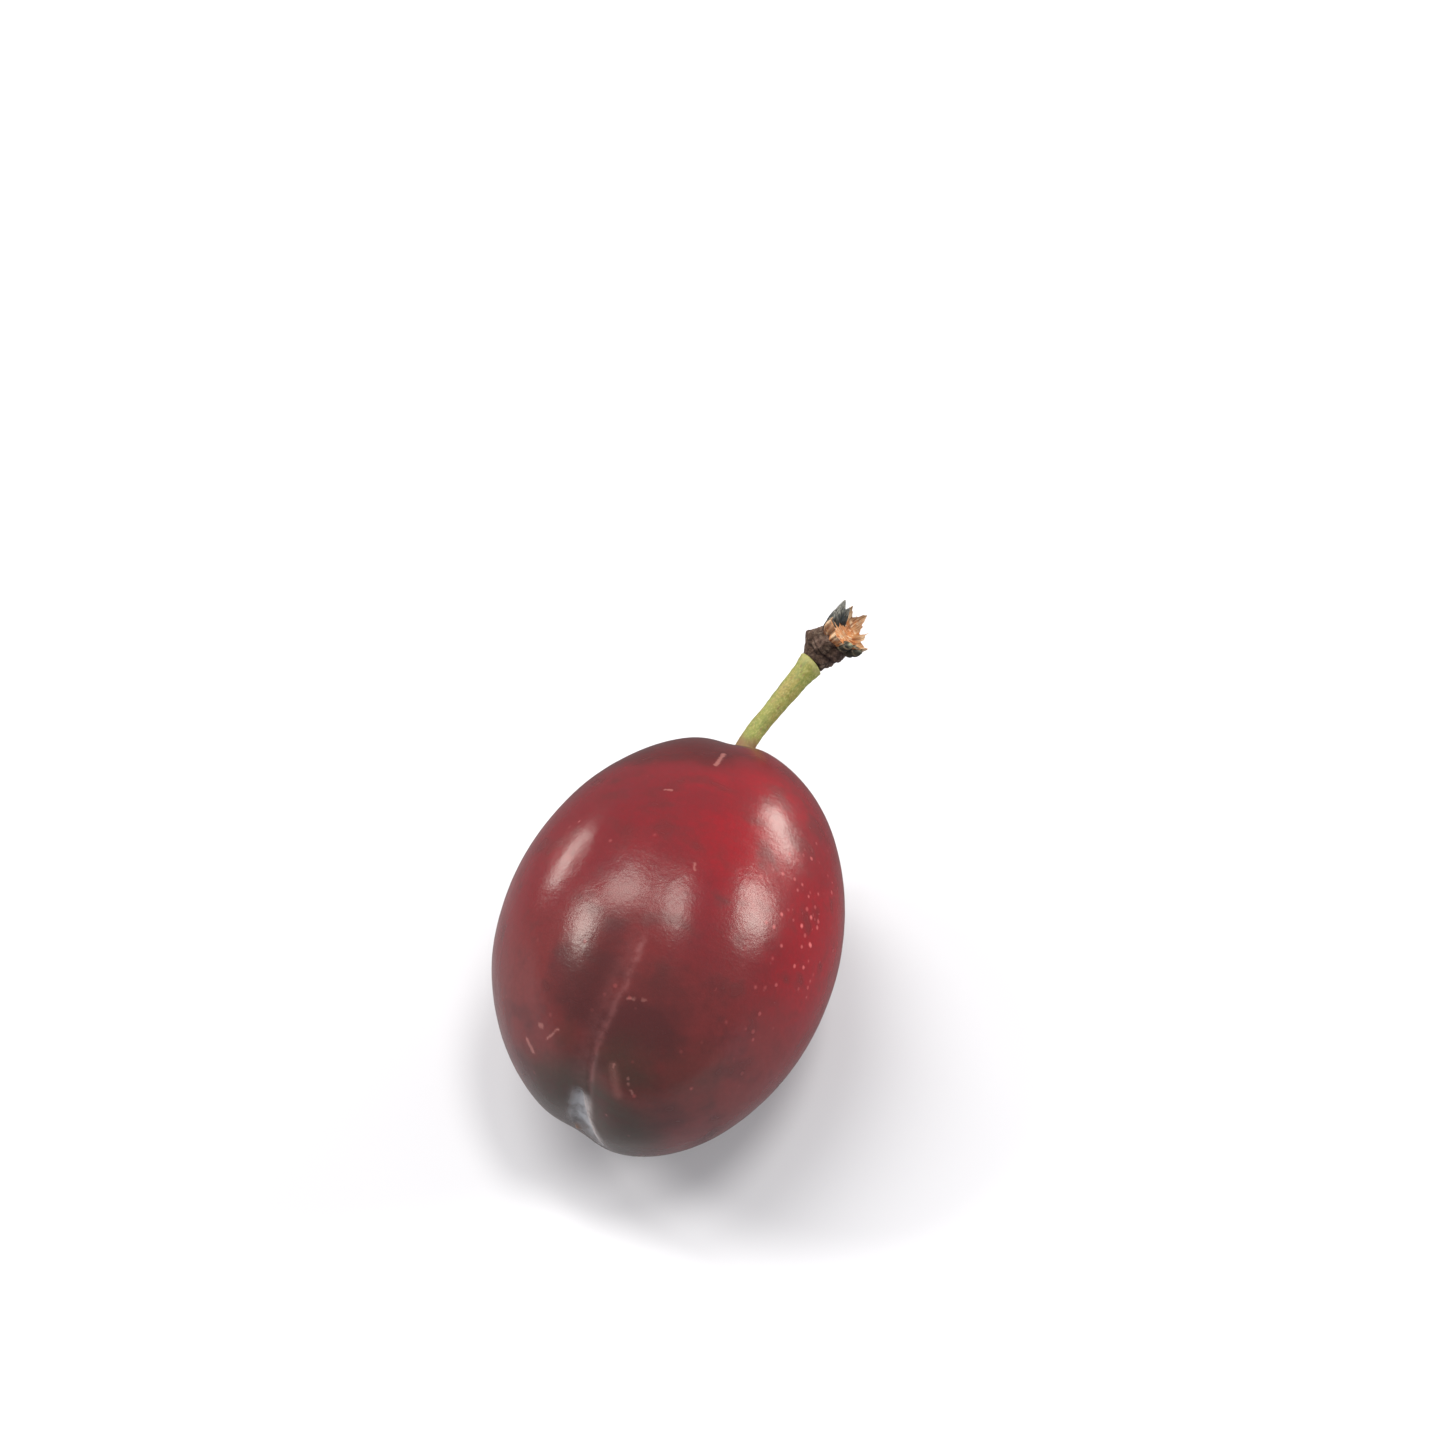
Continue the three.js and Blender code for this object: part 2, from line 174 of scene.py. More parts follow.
@dataclass(frozen=True)
class Line:
    """A line through space, held as closely spaced points and read by the share of its length."""

    points: Array

    @classmethod
    def bent(cls, start: Array, handle: Array, end: Array) -> "Line":
        """The quadratic curve from start to end that heads for its handle at both."""
        t = np.linspace(0.0, 1.0, CURVE_POINTS)[:, None]
        return cls((1.0 - t) ** 2 * start + 2.0 * t * (1.0 - t) * handle + t**2 * end)

    @classmethod
    def straight(cls, start: Array, end: Array) -> "Line":
        """The straight line between two points."""
        return cls.bent(start, (start + end) / 2.0, end)

    def then(self, end: Array) -> "Line":
        """The same line, followed by a straight one to a further point."""
        further = np.linspace(self.points[-1], end, STRAIGHT_POINTS)[1:]
        return Line(np.concatenate([self.points, further]))

    def steps(self) -> Array:
        """The distance from each point to the next."""
        return np.linalg.norm(np.diff(self.points, axis=0), axis=1)

    def at(self, share: Array) -> tuple[Array, Array]:
        """The line's places and headings, read straight between its points.

        Args:
            share: shares of the length, from 0 to 1.

        Returns:
            The places, and the unit headings there.
        """
        lengths = np.concatenate([[0.0], np.cumsum(self.steps())]) / self.steps().sum()
        slopes = np.gradient(self.points, lengths, axis=0)
        place = np.stack([np.interp(share, lengths, axis) for axis in self.points.T], axis=-1)
        heading = np.stack([np.interp(share, lengths, axis) for axis in slopes.T], axis=-1)
        return place, unit(heading)


@dataclass
class Surface:
    """A closed surface on a grid of points, with masks on the same grid that the finish reads by name.

    Each row of points goes once round, and the first and the last are the surface's poles.
    """

    points: Array
    masks: dict[str, Array] = field(default_factory=dict)

    def corners(self) -> tuple[Array, Array]:
        """The faces as vertex numbers.

        Returns:
            The four-cornered faces between rows, and the three-cornered ones at the poles.
        """
        rows, columns = self.points.shape[:2]
        ring = np.arange(columns)
        following = (ring + 1) % columns
        first = 1 + columns * np.arange(rows - 3)[:, None]
        between = [first + ring, first + following, first + columns + following, first + columns + ring]
        last_row = 1 + columns * (rows - 3)
        start_cap = [np.zeros_like(ring), 1 + following, 1 + ring]
        end_cap = [np.full_like(ring, last_row + columns), last_row + ring, last_row + following]
        caps = [np.stack(cap, axis=-1) for cap in (start_cap, end_cap)]
        return np.stack(between, axis=-1).reshape(-1, 4), np.concatenate(caps)

    def flat(self, grid: Array) -> Array:
        """A grid's values in the order of the vertices, with one value at each pole."""
        middle = grid[1:-1].reshape((-1,) + grid.shape[2:])
        return np.concatenate([grid[:1, 0], middle, grid[-1:, 0]])

    def outward(self) -> tuple[Array, Array, Array]:
        """The mesh, its faces turned so that the volume they hold is positive.

        Returns:
            The vertices, the four-cornered faces and the three-cornered ones.
        """
        vertices = self.flat(self.points)
        fours, threes = self.corners()
        triangles = np.concatenate([fours[:, :3], fours[:, [0, 2, 3]], threes])
        a, b, c = (vertices[triangles[:, i]] for i in range(3))
        if np.einsum("ij,ij->", a, np.cross(b, c)) < 0.0:
            fours, threes = fours[:, ::-1], threes[:, ::-1]
        return vertices, fours, threes


def swept(line: Line, share: Array, reach: Array, columns: int, flatten: float = 1.0) -> Surface:
    """A profile carried along a line, as a closed surface whose ends lie on the line.

    A point is the line's, plus reach cos(turn) to one side and reach sin(turn) to the other.

    Args:
        line: the middle line.
        share: for each row, its share of the way along.
        reach: distance from the line, for each row or for each row and column.
        columns: points in a row.
        flatten: thickness as a share of the width.

    Returns:
        The surface, with its own coordinates across and along it as the mask "grain".
    """
    place, heading = line.at(share)
    side = unit(np.cross(heading, UP))
    over = np.cross(side, heading)
    reach = reach if reach.ndim == 2 else reach[:, None]
    across = reach * np.cos(turns(columns))
    thick = reach * np.sin(turns(columns)) * flatten
    points = place[:, None] + across[..., None] * side[:, None] + thick[..., None] * over[:, None]
    along = (share * line.steps().sum())[:, None] * np.ones(columns)
    return Surface(points, {"grain": np.stack([across, thick, along], axis=-1)})


def placed(name: str, data: bpy.types.ID) -> Object:
    """A new object in the scene.

    Args:
        name: its name.
        data: its mesh, light or lens.

    Returns:
        The object.
    """
    thing = bpy.data.objects.new(name, data)
    bpy.context.scene.collection.objects.link(thing)
    return thing


def make_piece(name: str, surfaces: list[Surface], material: Material) -> Object:
    """One smooth object from closed surfaces, with its place in its mesh.

    Args:
        name: the object's name.
        surfaces: what it is made of.
        material: its finish.

    Returns:
        The object, riding on the part's one body.
    """
    vertices, faces = np.empty((0, 3)), []
    for surface in surfaces:
        points, fours, threes = surface.outward()
        faces += (fours + len(vertices)).tolist() + (threes + len(vertices)).tolist()
        vertices = np.concatenate([vertices, points])
    mesh = bpy.data.meshes.new(name)
    mesh.from_pydata(vertices * MM, [], faces)
    mesh.shade_smooth()
    for mask in surfaces[0].masks:
        values = np.concatenate([surface.flat(surface.masks[mask]) for surface in surfaces])
        kind, key = ("FLOAT_VECTOR", "vector") if values.ndim == 2 else ("FLOAT", "value")
        attribute = mesh.attributes.new(mask, kind, "POINT")
        attribute.data.foreach_set(key, values.astype(np.float32).ravel())
    mesh.materials.append(material)
    piece = placed(name, mesh)
    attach(piece, BODY)
    LOG.info("%s: %d faces in %d surfaces", name, len(faces), len(surfaces))
    return piece


# Finishes in nodes


class Sum(Enum):
    """The arithmetic that a finish uses, on numbers and on vectors."""

    ADD = "ADD"
    TAKE = "SUBTRACT"
    TIMES = "MULTIPLY"
    LARGER = "MAXIMUM"
    BELOW = "LESS_THAN"
    DOT = "DOT_PRODUCT"
    APART = "DISTANCE"
    SCALE = "SCALE"
    TIMES_ADD = "MULTIPLY_ADD"


class Ray(Enum):
    """The kinds of light ray that the stage tells apart."""

    CAMERA = "Is Camera Ray"
    GLOSSY = "Is Glossy Ray"


def tint(red: int, green: int, blue: int) -> Tint:
    """A screen colour, from 0 to 255, as the linear colour that a shader takes."""
    shares = [value / 255.0 for value in (red, green, blue)]
    return (*[c / 12.92 if c <= 0.04045 else ((c + 0.055) / 1.055) ** 2.4 for c in shares], 1.0)


class Finish:
    """A material or a world under construction, with a short call for each kind of node that it needs."""

    def __init__(self, owner: bpy.types.ID) -> None:
        """Starts from the owner's own shader.

        Args:
            owner: the new material or world.
        """
        owner.use_nodes = True
        self.owner = owner
        self._tree = owner.node_tree
        self._shader = next(n for n in self._tree.nodes if n.type in ("BSDF_PRINCIPLED", "BACKGROUND"))

    def _feed(self, socket: Socket, value: object) -> None:
        """Links a socket to another, or sets it to a value.

        Args:
            socket: the input.
            value: the other socket, or the value.
        """
        if isinstance(value, Socket):
            self._tree.links.new(value, socket)
        else:
            socket.default_value = value

    def _node(self, kind: str, inputs: dict[str | int, object], **settings: object) -> Sockets:
        """A new node.

        Args:
            kind: its type.
            inputs: sockets or values for its inputs, by name or number.
            settings: its own settings.

        Returns:
            Its outputs.
        """
        node = self._tree.nodes.new(kind)
        for key, value in settings.items():
            setattr(node, key, value)
        for key, value in inputs.items():
            self._feed(node.inputs[key], value)
        return node.outputs

    def set(self, **values: object) -> None:
        """Feeds the shader's inputs, named as it names them, with _ for a space."""
        for key, value in values.items():
            self._feed(self._shader.inputs[key.replace("_", " ")], value)

    def mask(self, name: str) -> Socket:
        """A number that the mesh carries."""
        return self._node("ShaderNodeAttribute", {}, attribute_name=name)["Fac"]

    def ray(self, kind: Ray) -> Socket:
        """1 for the light rays of a kind, and 0 for the others."""
        return self._node("ShaderNodeLightPath", {})[kind.value]

    def _stretched(self, place: Socket, stretch: object) -> Socket:
        """A place with each axis times its stretch."""
        return self._node("ShaderNodeMapping", {"Vector": place, "Scale": stretch})["Vector"]

    def place(self, stretch: Triple = (1.0, 1.0, 1.0)) -> Socket:
        """The place on the object in millimetres, each axis times its stretch."""
        return self._stretched(self._node("ShaderNodeTexCoord", {})["Object"], [s / MM for s in stretch])

    def grain(self, stretch: float) -> Socket:
        """The mesh's own coordinates across and along it, in millimetres, the last times a stretch."""
        own = self._node("ShaderNodeAttribute", {}, attribute_name="grain")["Vector"]
        return self._stretched(own, (1.0, 1.0, stretch))

    def sum(self, kind: Sum, first: object, *others: object) -> Socket:
        """Numbers put together one after another.

        Args:
            kind: how.
            first: the number to start from.
            others: the numbers that follow.

        Returns:
            The result.
        """
        for other in others:
            first = self._node("ShaderNodeMath", {0: first, 1: other}, operation=kind.value)[0]
        return first

    def vector(self, kind: Sum, inputs: dict[str | int, object]) -> Socket:
        """Vectors put together: a vector, or the number that a dot product or a distance gives."""
        outputs = self._node("ShaderNodeVectorMath", inputs, operation=kind.value)
        return outputs["Value" if kind in (Sum.DOT, Sum.APART) else "Vector"]

    def span(self, value: object, low: float, high: float, start: float = 0.0, end: float = 1.0) -> Socket:
        """Start below low and end above high, with a smooth run between them."""
        inputs = {"Value": value, "From Min": low, "From Max": high, "To Min": start, "To Max": end}
        return self._node("ShaderNodeMapRange", inputs, interpolation_type="SMOOTHSTEP")["Result"]

    def _texture(self, kind: str, size: float, place: Where, **inputs: float) -> Sockets:
        """A texture's outputs, with its clouds or cells of a size in millimetres."""
        return self._node(kind, {"Vector": place or self.place(), "Scale": 1.0 / size, **inputs})

    def noise(self, size: float, place: Where = None, detail: float = 3.0, rough: float = 0.55) -> Socket:
        """Cloudy noise from 0 to 1."""
        return self._texture("ShaderNodeTexNoise", size, place, Detail=detail, Roughness=rough)["Fac"]

    def scatter(self, size: float) -> Socket:
        """Cloudy noise as a colour, whose channels vary each on their own."""
        return self._texture("ShaderNodeTexNoise", size, None, Detail=2.0)["Color"]

    def dots(self, spacing: float, radius: float, share: object, place: Where = None) -> Socket:
        """Round dots scattered through space, of which only a share is kept.

        Args:
            spacing: usual distance from dot to dot, in millimetres.
            radius: a dot's radius, in millimetres.
            share: how much of them is kept, from 0 to 1.
            place: where the pattern is read.

        Returns:
            Up to 1 at the middle of a kept dot, some fainter than others, falling softly to 0 round it.
        """
        cells = self._texture("ShaderNodeTexVoronoi", spacing, place)
        near = self.span(cells["Distance"], 0.2 * radius / spacing, 1.2 * radius / spacing, 1.0, 0.0)
        draws = self._node("ShaderNodeSeparateColor", {"Color": cells["Color"]})
        kept = self.sum(Sum.BELOW, draws["Red"], share)
        return self.sum(Sum.TIMES, near, kept, self.span(draws["Green"], 0.0, 1.0, 0.35, 1.0))

    def layers(self, colour: object, *coats: tuple[object, object]) -> Socket:
        """A colour with coats over it.

        Args:
            colour: what is under them.
            coats: each coat's share, from 0 to 1, and its colour.

        Returns:
            The colour that shows.
        """
        for share, coat in coats:
            colour = self._node("ShaderNodeMix", {0: share, 6: colour, 7: coat}, data_type="RGBA")[2]
        return colour

    def relief(self, *layers: tuple[Socket, float]) -> Socket:
        """The surface's direction with fine reliefs on top of each other.

        Args:
            layers: each relief's height, from 0 to 1, and its depth in millimetres.

        Returns:
            The direction.
        """
        under = {}
        for height, depth in layers:
            inputs = {"Height": height, "Distance": depth * MM, "Strength": 1.0, **under}
            under = {"Normal": self._node("ShaderNodeBump", inputs)["Normal"]}
        return under["Normal"]

    def near_line(self, place: Socket, start: Array, end: Array, width: float) -> Socket:
        """A short straight mark, by the distance from the stretch between two points.

        Args:
            place: where the pattern is read, in millimetres.
            start: one end of the mark.
            end: its other end.
            width: the mark's full width.

        Returns:
            1 within the mark and 0 away from it.
        """
        along = end - start
        over = self.vector(Sum.TAKE, {0: place, 1: start})
        reached = self.vector(Sum.DOT, {0: over, 1: along / float(along @ along)})
        held = self._node("ShaderNodeClamp", {"Value": reached})[0]
        nearest = self.vector(Sum.SCALE, {0: along, "Scale": held})
        return self.span(self.vector(Sum.APART, {0: over, 1: nearest}), 0.0, 0.6 * width, 1.0, 0.0)


# The fruit


@dataclass(frozen=True)
class Patch:
    """A part of the skin: radians from the tip, degrees from the seam, and its reaches in millimetres."""

    from_tip: float
    from_seam: float
    along: float
    around: float
    strength: float


@dataclass(frozen=True)
class Mark:
    """A short healed scratch from one place on the skin to another, each as (from tip, from seam)."""

    start: Pair
    end: Pair
    width: float
    strength: float


@dataclass(frozen=True)
class FruitForm:
    """The fruit's form: sizes in millimetres, angles in radians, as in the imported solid.

    A place on it is an angle from the style scar's pole, and an angle round it from the seam.
    """

    length: float = 58.1
    width: float = 43.2
    depth: float = 42.4
    end_taper: float = 0.044
    belly: Pair = (-1.3, -0.55)
    shoulders: Pair = (-0.7, -0.3)
    lobes: Pair = (-0.016, 0.008)
    tip_offset: Pair = (-0.18, -0.03)
    stalk_offset: Pair = (-0.05, 0.0)
    seam_wander: tuple[float, ...] = (-0.18, 0.037, -0.104, -0.007, -0.046)
    seam_fade: float = 1.6
    cleft_depth: float = 0.5
    scar: Pair = (-0.7, -5.0)
    hollow_radius: float = 2.9
    hollow_depth: float = 2.0
    roll: float = math.radians(15.5)
    centre: Triple = (1.5, -0.05, 20.3)
    rest_softness: float = 0.16

    def seam_angle(self, from_tip: Array) -> Array:
        """Angle round the fruit of the seam: one to five half waves from end to end."""
        return sum(wave * np.sin((i + 1) * from_tip) for i, wave in enumerate(self.seam_wander))

    def off_axis(self, from_tip: Array, from_seam: Array) -> tuple[Array, Array, Array]:
        """Distance from the fruit's axis, and its parts across the seam and up towards it."""
        ring = self.width / 2.0 * np.sin(from_tip)
        return ring, ring * np.sin(from_seam), ring * np.cos(from_seam)

    def smooth_point(self, from_tip: Array, round_angle: Array) -> Array:
        """Point of the smooth form, in the fruit's own axes.

        An ellipsoid whose girth tapers to both ends and has three shallow lobes, and whose middle
        is pushed sideways by the square of the distance from the axis, more at one end.

        Args:
            from_tip: angle from the style scar.
            round_angle: angle round the fruit.

        Returns:
            The points, with three numbers in the last axis.
        """
        near_tip = (1.0 + np.cos(from_tip)) / 2.0
        ring = np.sin(from_tip)
        offsets = zip(self.tip_offset, self.stalk_offset)
        side, rise = (tip * near_tip + stalk * (1.0 - near_tip) for tip, stalk in offsets)
        x, z = ring * np.sin(round_angle) + side, ring * np.cos(round_angle) + rise
        direction = unit(np.stack([x, np.cos(from_tip), z], axis=-1))
        x, tipwards, z = (direction[..., axis] for axis in range(3))
        outwards = x * x + z * z
        side_lobe = self.lobes[0] * (3.0 * x * outwards - 4.0 * x**3)
        up_lobe = self.lobes[1] * (4.0 * z**3 - 3.0 * z * outwards)
        girth = 1.0 - self.end_taper * tipwards**2 + up_lobe + side_lobe
        pushes = [outwards * (self.belly[i] + self.shoulders[i] * tipwards) for i in range(2)]
        across = self.width / 2.0 * girth * x + pushes[0]
        up = self.depth / 2.0 * girth * z + pushes[1]
        return np.stack([across, -self.length / 2.0 * tipwards, up], axis=-1)

    def cleft_edges(self, up: Array) -> Pair:
        """The places across of the tip's wedge-shaped cleft's left and right edges, at heights up."""
        right = np.interp(up, [-4.0, -2.1, -0.3, 0.9, 2.7, 5.5], [3.4, 2.2, 1.1, -0.1, -0.65, -0.95])
        return np.interp(up, [-4.0, -2.3, 1.6, 5.0], [-1.7, -1.9, -2.3, -2.1]), right

    def skin_depth(self, from_tip: Array, from_seam: Array) -> Array:
        """Depth of the skin below the smooth form: bells of the distances from each dip's middle.

        The seam is a wide shallow valley with a narrow line in it. The tip has a saddle, the style
        scar's nub and a wedge, which steps down past its two edges. The stalk's hollow has a low rim.

        Args:
            from_tip: angle from the style scar.
            from_seam: angle round the fruit from the seam.

        Returns:
            The depth in millimetres.
        """
        ring, across, up = self.off_axis(from_tip, from_seam)
        valley = (0.14 + 0.5 * bell(from_tip, 2.75, 0.4)) * bell(across, 0.0, 3.0)
        line = 0.08 * (1.0 - smooth_step(from_tip, 0.9, 1.2)) + 0.12 * bell(from_tip, 0.4, 0.2)
        seam = smooth_step(up, -self.seam_fade, self.seam_fade) * (valley + line * bell(across, 0.0, 0.5))
        left, right = self.cleft_edges(up)
        wedge = band(across, (left - 0.3, left + 0.4), (right - 0.5, right + 0.1))
        wedge = self.cleft_depth * wedge * band(up, (-5.0, -3.0), (4.6, 6.4))
        saddle = 1.4 * bell(across, -0.9, 3.8) * bell(from_tip, 0.0, 0.5)
        nub = 0.3 * bell(across, self.scar[0], 0.45) * bell(up, self.scar[1], 0.45)
        hollow = self.hollow_depth * bell(ring, 0.0, self.hollow_radius) - 0.12 * bell(ring, 1.55, 0.3)
        return seam + np.where(from_tip < math.pi / 2.0, saddle + wedge - nub, hollow)

    def skin_point(self, from_tip: Array, from_seam: Array) -> Array:
        """Point of the skin where the fruit lies.

        The smooth point goes inwards by the skin's depth, turns about Y by the roll and rises to
        the fruit's place, and the round underside then runs softly into a flat at height zero.

        Args:
            from_tip: angle from the style scar.
            from_seam: angle round the fruit from the seam.

        Returns:
            The points in the part's frame, in millimetres.
        """
        form = self.smooth_point(from_tip, self.seam_angle(from_tip) + from_seam)
        outward = unit(form / np.array([self.width**2, self.length**2, self.depth**2]))
        x, y, z = np.moveaxis(form - outward * self.skin_depth(from_tip, from_seam)[..., None], -1, 0)
        c, s = math.cos(self.roll), math.sin(self.roll)
        x, y, z = x * c + z * s + self.centre[0], y + self.centre[1], z * c - x * s + self.centre[2]
        soft = (z + self.rest_softness) ** 2 / (4.0 * self.rest_softness)
        z = np.where(z >= self.rest_softness, z, np.where(z <= -self.rest_softness, 0.0, soft))
        return np.stack([x, y, z], axis=-1)

    def on_skin(self, from_tip: float, from_seam: float) -> Array:
        """One point of the skin, for an angle from the tip and degrees from the seam."""
        return self.skin_point(np.array(from_tip), np.array(math.radians(from_seam)))


@dataclass(frozen=True)
class SkinFinish:
    """The plum's skin: colours, and the healed marks on it."""

    crimson: Tint = tint(122, 27, 35)
    red: Tint = tint(101, 32, 38)
    dull: Tint = tint(96, 45, 46)
    maroon: Tint = tint(72, 37, 39)
    plum: Tint = tint(84, 38, 46)
    dusk: Tint = tint(62, 50, 45)
    shoulder: Tint = tint(71, 29, 31)
    wax: Tint = tint(176, 178, 184)
    # the cleft's pale right ridge: partly wax, partly a painted highlight
    ridge: Tint = tint(190, 182, 182)
    dot: Tint = tint(190, 98, 100)
    healed: Tint = tint(172, 118, 114)
    seam_line: Tint = tint(128, 80, 82)
    scar: Tint = tint(124, 98, 84)
    dot_spacing: float = 1.05
    dot_radius: float = 0.34
    marks: tuple[Mark, ...] = (
        Mark((2.363, 3.3), (2.216, 1.5), 0.8, 0.42), Mark((1.934, -12.2), (1.937, -9.7), 0.45, 0.4),
        Mark((1.576, 8.1), (1.546, 9.0), 0.5, 0.3), Mark((0.588, -57.5), (0.517, -54.9), 0.9, 0.4),
        Mark((0.583, -36.2), (0.641, -26.6), 0.5, 0.35), Mark((0.656, -41.5), (0.650, -39.5), 0.9, 0.35),
        Mark((0.562, 14.4), (0.435, 28.2), 1.7, 0.15), Mark((0.575, 14.4), (0.555, 15.2), 0.6, 0.4),
        Mark((0.558, 26.2), (0.555, 26.6), 0.5, 0.3), Mark((0.531, 28.6), (0.528, 29.0), 0.5, 0.27),
        Mark((0.512, 33.2), (0.502, 35.2), 0.5, 0.3), Mark((0.902, 3.9), (0.914, 6.2), 0.6, 0.22),
        Mark((0.928, 9.3), (0.934, 10.6), 0.55, 0.22),
    )

    def build(self, form: FruitForm) -> Material:
        """The material: zones of colour with clouded edges, pale dots, marks, wax, a painted highlight on
        the cleft's ridge and fine pores.

        Args:
            form: the fruit's form, which places the marks.

        Returns:
            The material.
        """
        skin = Finish(bpy.data.materials.new("plum_skin"))
        clouds = skin.noise(7.0, detail=5.0, rough=0.6)
        streaks = skin.noise(3.6, skin.place((0.6, 1.0, 1.0)), detail=2.0, rough=0.5)
        fine = skin.noise(0.7)
        pores = skin.noise(0.45, detail=2.0)
        wander = skin.sum(Sum.TAKE, skin.sum(Sum.ADD, clouds, streaks), 1.0)

        def zone(name: str, unevenness: float) -> Socket:
            """A mask with its edge clouded by the noise."""
            shifted = skin.sum(Sum.ADD, skin.mask(name), skin.sum(Sum.TIMES, wander, unevenness))
            return skin.span(shifted, 0.1, 0.9)

        dotted = skin.mask("dotted")
        dots = skin.dots(self.dot_spacing, self.dot_radius, dotted)
        dots = skin.sum(Sum.TIMES, dots, skin.span(dotted, 0.0, 0.6, 0.2, 1.0))
        mark = self._healed(skin, form)
        broken = skin.span(skin.noise(1.3, detail=2.0), 0.3, 0.6, 0.35, 1.0)
        worn = skin.span(skin.noise(1.6, detail=4.0, rough=0.6), 0.3, 0.62, 0.45, 1.0)
        wax = skin.sum(Sum.TIMES, skin.mask("wax"), worn)
        colour = skin.layers(
            self.red,
            (zone("blush", 0.9), self.crimson),
            (skin.mask("dull"), self.dull),
            (zone("shade", 0.9), self.maroon),
            (zone("shoulder", 0.6), self.shoulder),
            (zone("dusk", 0.35), self.dusk),
            (skin.span(clouds, 0.5, 0.7, 0.0, 0.3), self.plum),
            (skin.span(streaks, 0.5, 0.72, 0.0, 0.45), self.maroon),
            (skin.span(fine, 0.35, 0.65, 0.0, 0.16), self.maroon),
            (dots, self.dot),
            (mark, self.healed),
            (skin.sum(Sum.TIMES, skin.mask("seam"), broken), self.seam_line),
            (wax, self.wax),
            # painted highlight, with wax, along the cleft's right ridge
            (skin.sum(Sum.TIMES, worn, 0.85, skin.mask("ridge")), self.ridge),
            (skin.mask("scar"), self.scar),
        )
        waxy = skin.sum(Sum.TIMES, wax, 0.35)
        corky = skin.sum(Sum.TIMES, skin.sum(Sum.LARGER, mark, dots), 0.2)
        rough = skin.sum(Sum.ADD, skin.span(streaks, 0.2, 0.8, 0.21, 0.28), waxy, corky)
        skin.set(Base_Color=colour, Roughness=rough, Normal=skin.relief((pores, 0.014), (fine, 0.02)))
        skin.set(IOR=1.31, Subsurface_Weight=0.06)
        skin.set(Subsurface_Scale=0.002, Subsurface_Radius=(1.0, 0.25, 0.2))
        return skin.owner

    def _healed(self, skin: Finish, form: FruitForm) -> Socket:
        """The healed marks, the strongest at each place, with their edges frayed by noise.

        Args:
            skin: the finish that they are part of.
            form: the fruit's form, which places them.

        Returns:
            How strongly a mark shows.
        """
        halves = (0.5, 0.5, 0.5)
        shake = skin.vector(Sum.TAKE, {0: skin.scatter(0.6), 1: halves})
        shaken = skin.vector(Sum.TIMES_ADD, {0: shake, 1: halves, 2: skin.place()})
        strengths = []
        for mark in self.marks:
            line = skin.near_line(shaken, form.on_skin(*mark.start), form.on_skin(*mark.end), mark.width)
            strengths.append(skin.sum(Sum.TIMES, line, mark.strength))
        return skin.sum(Sum.LARGER, *strengths)


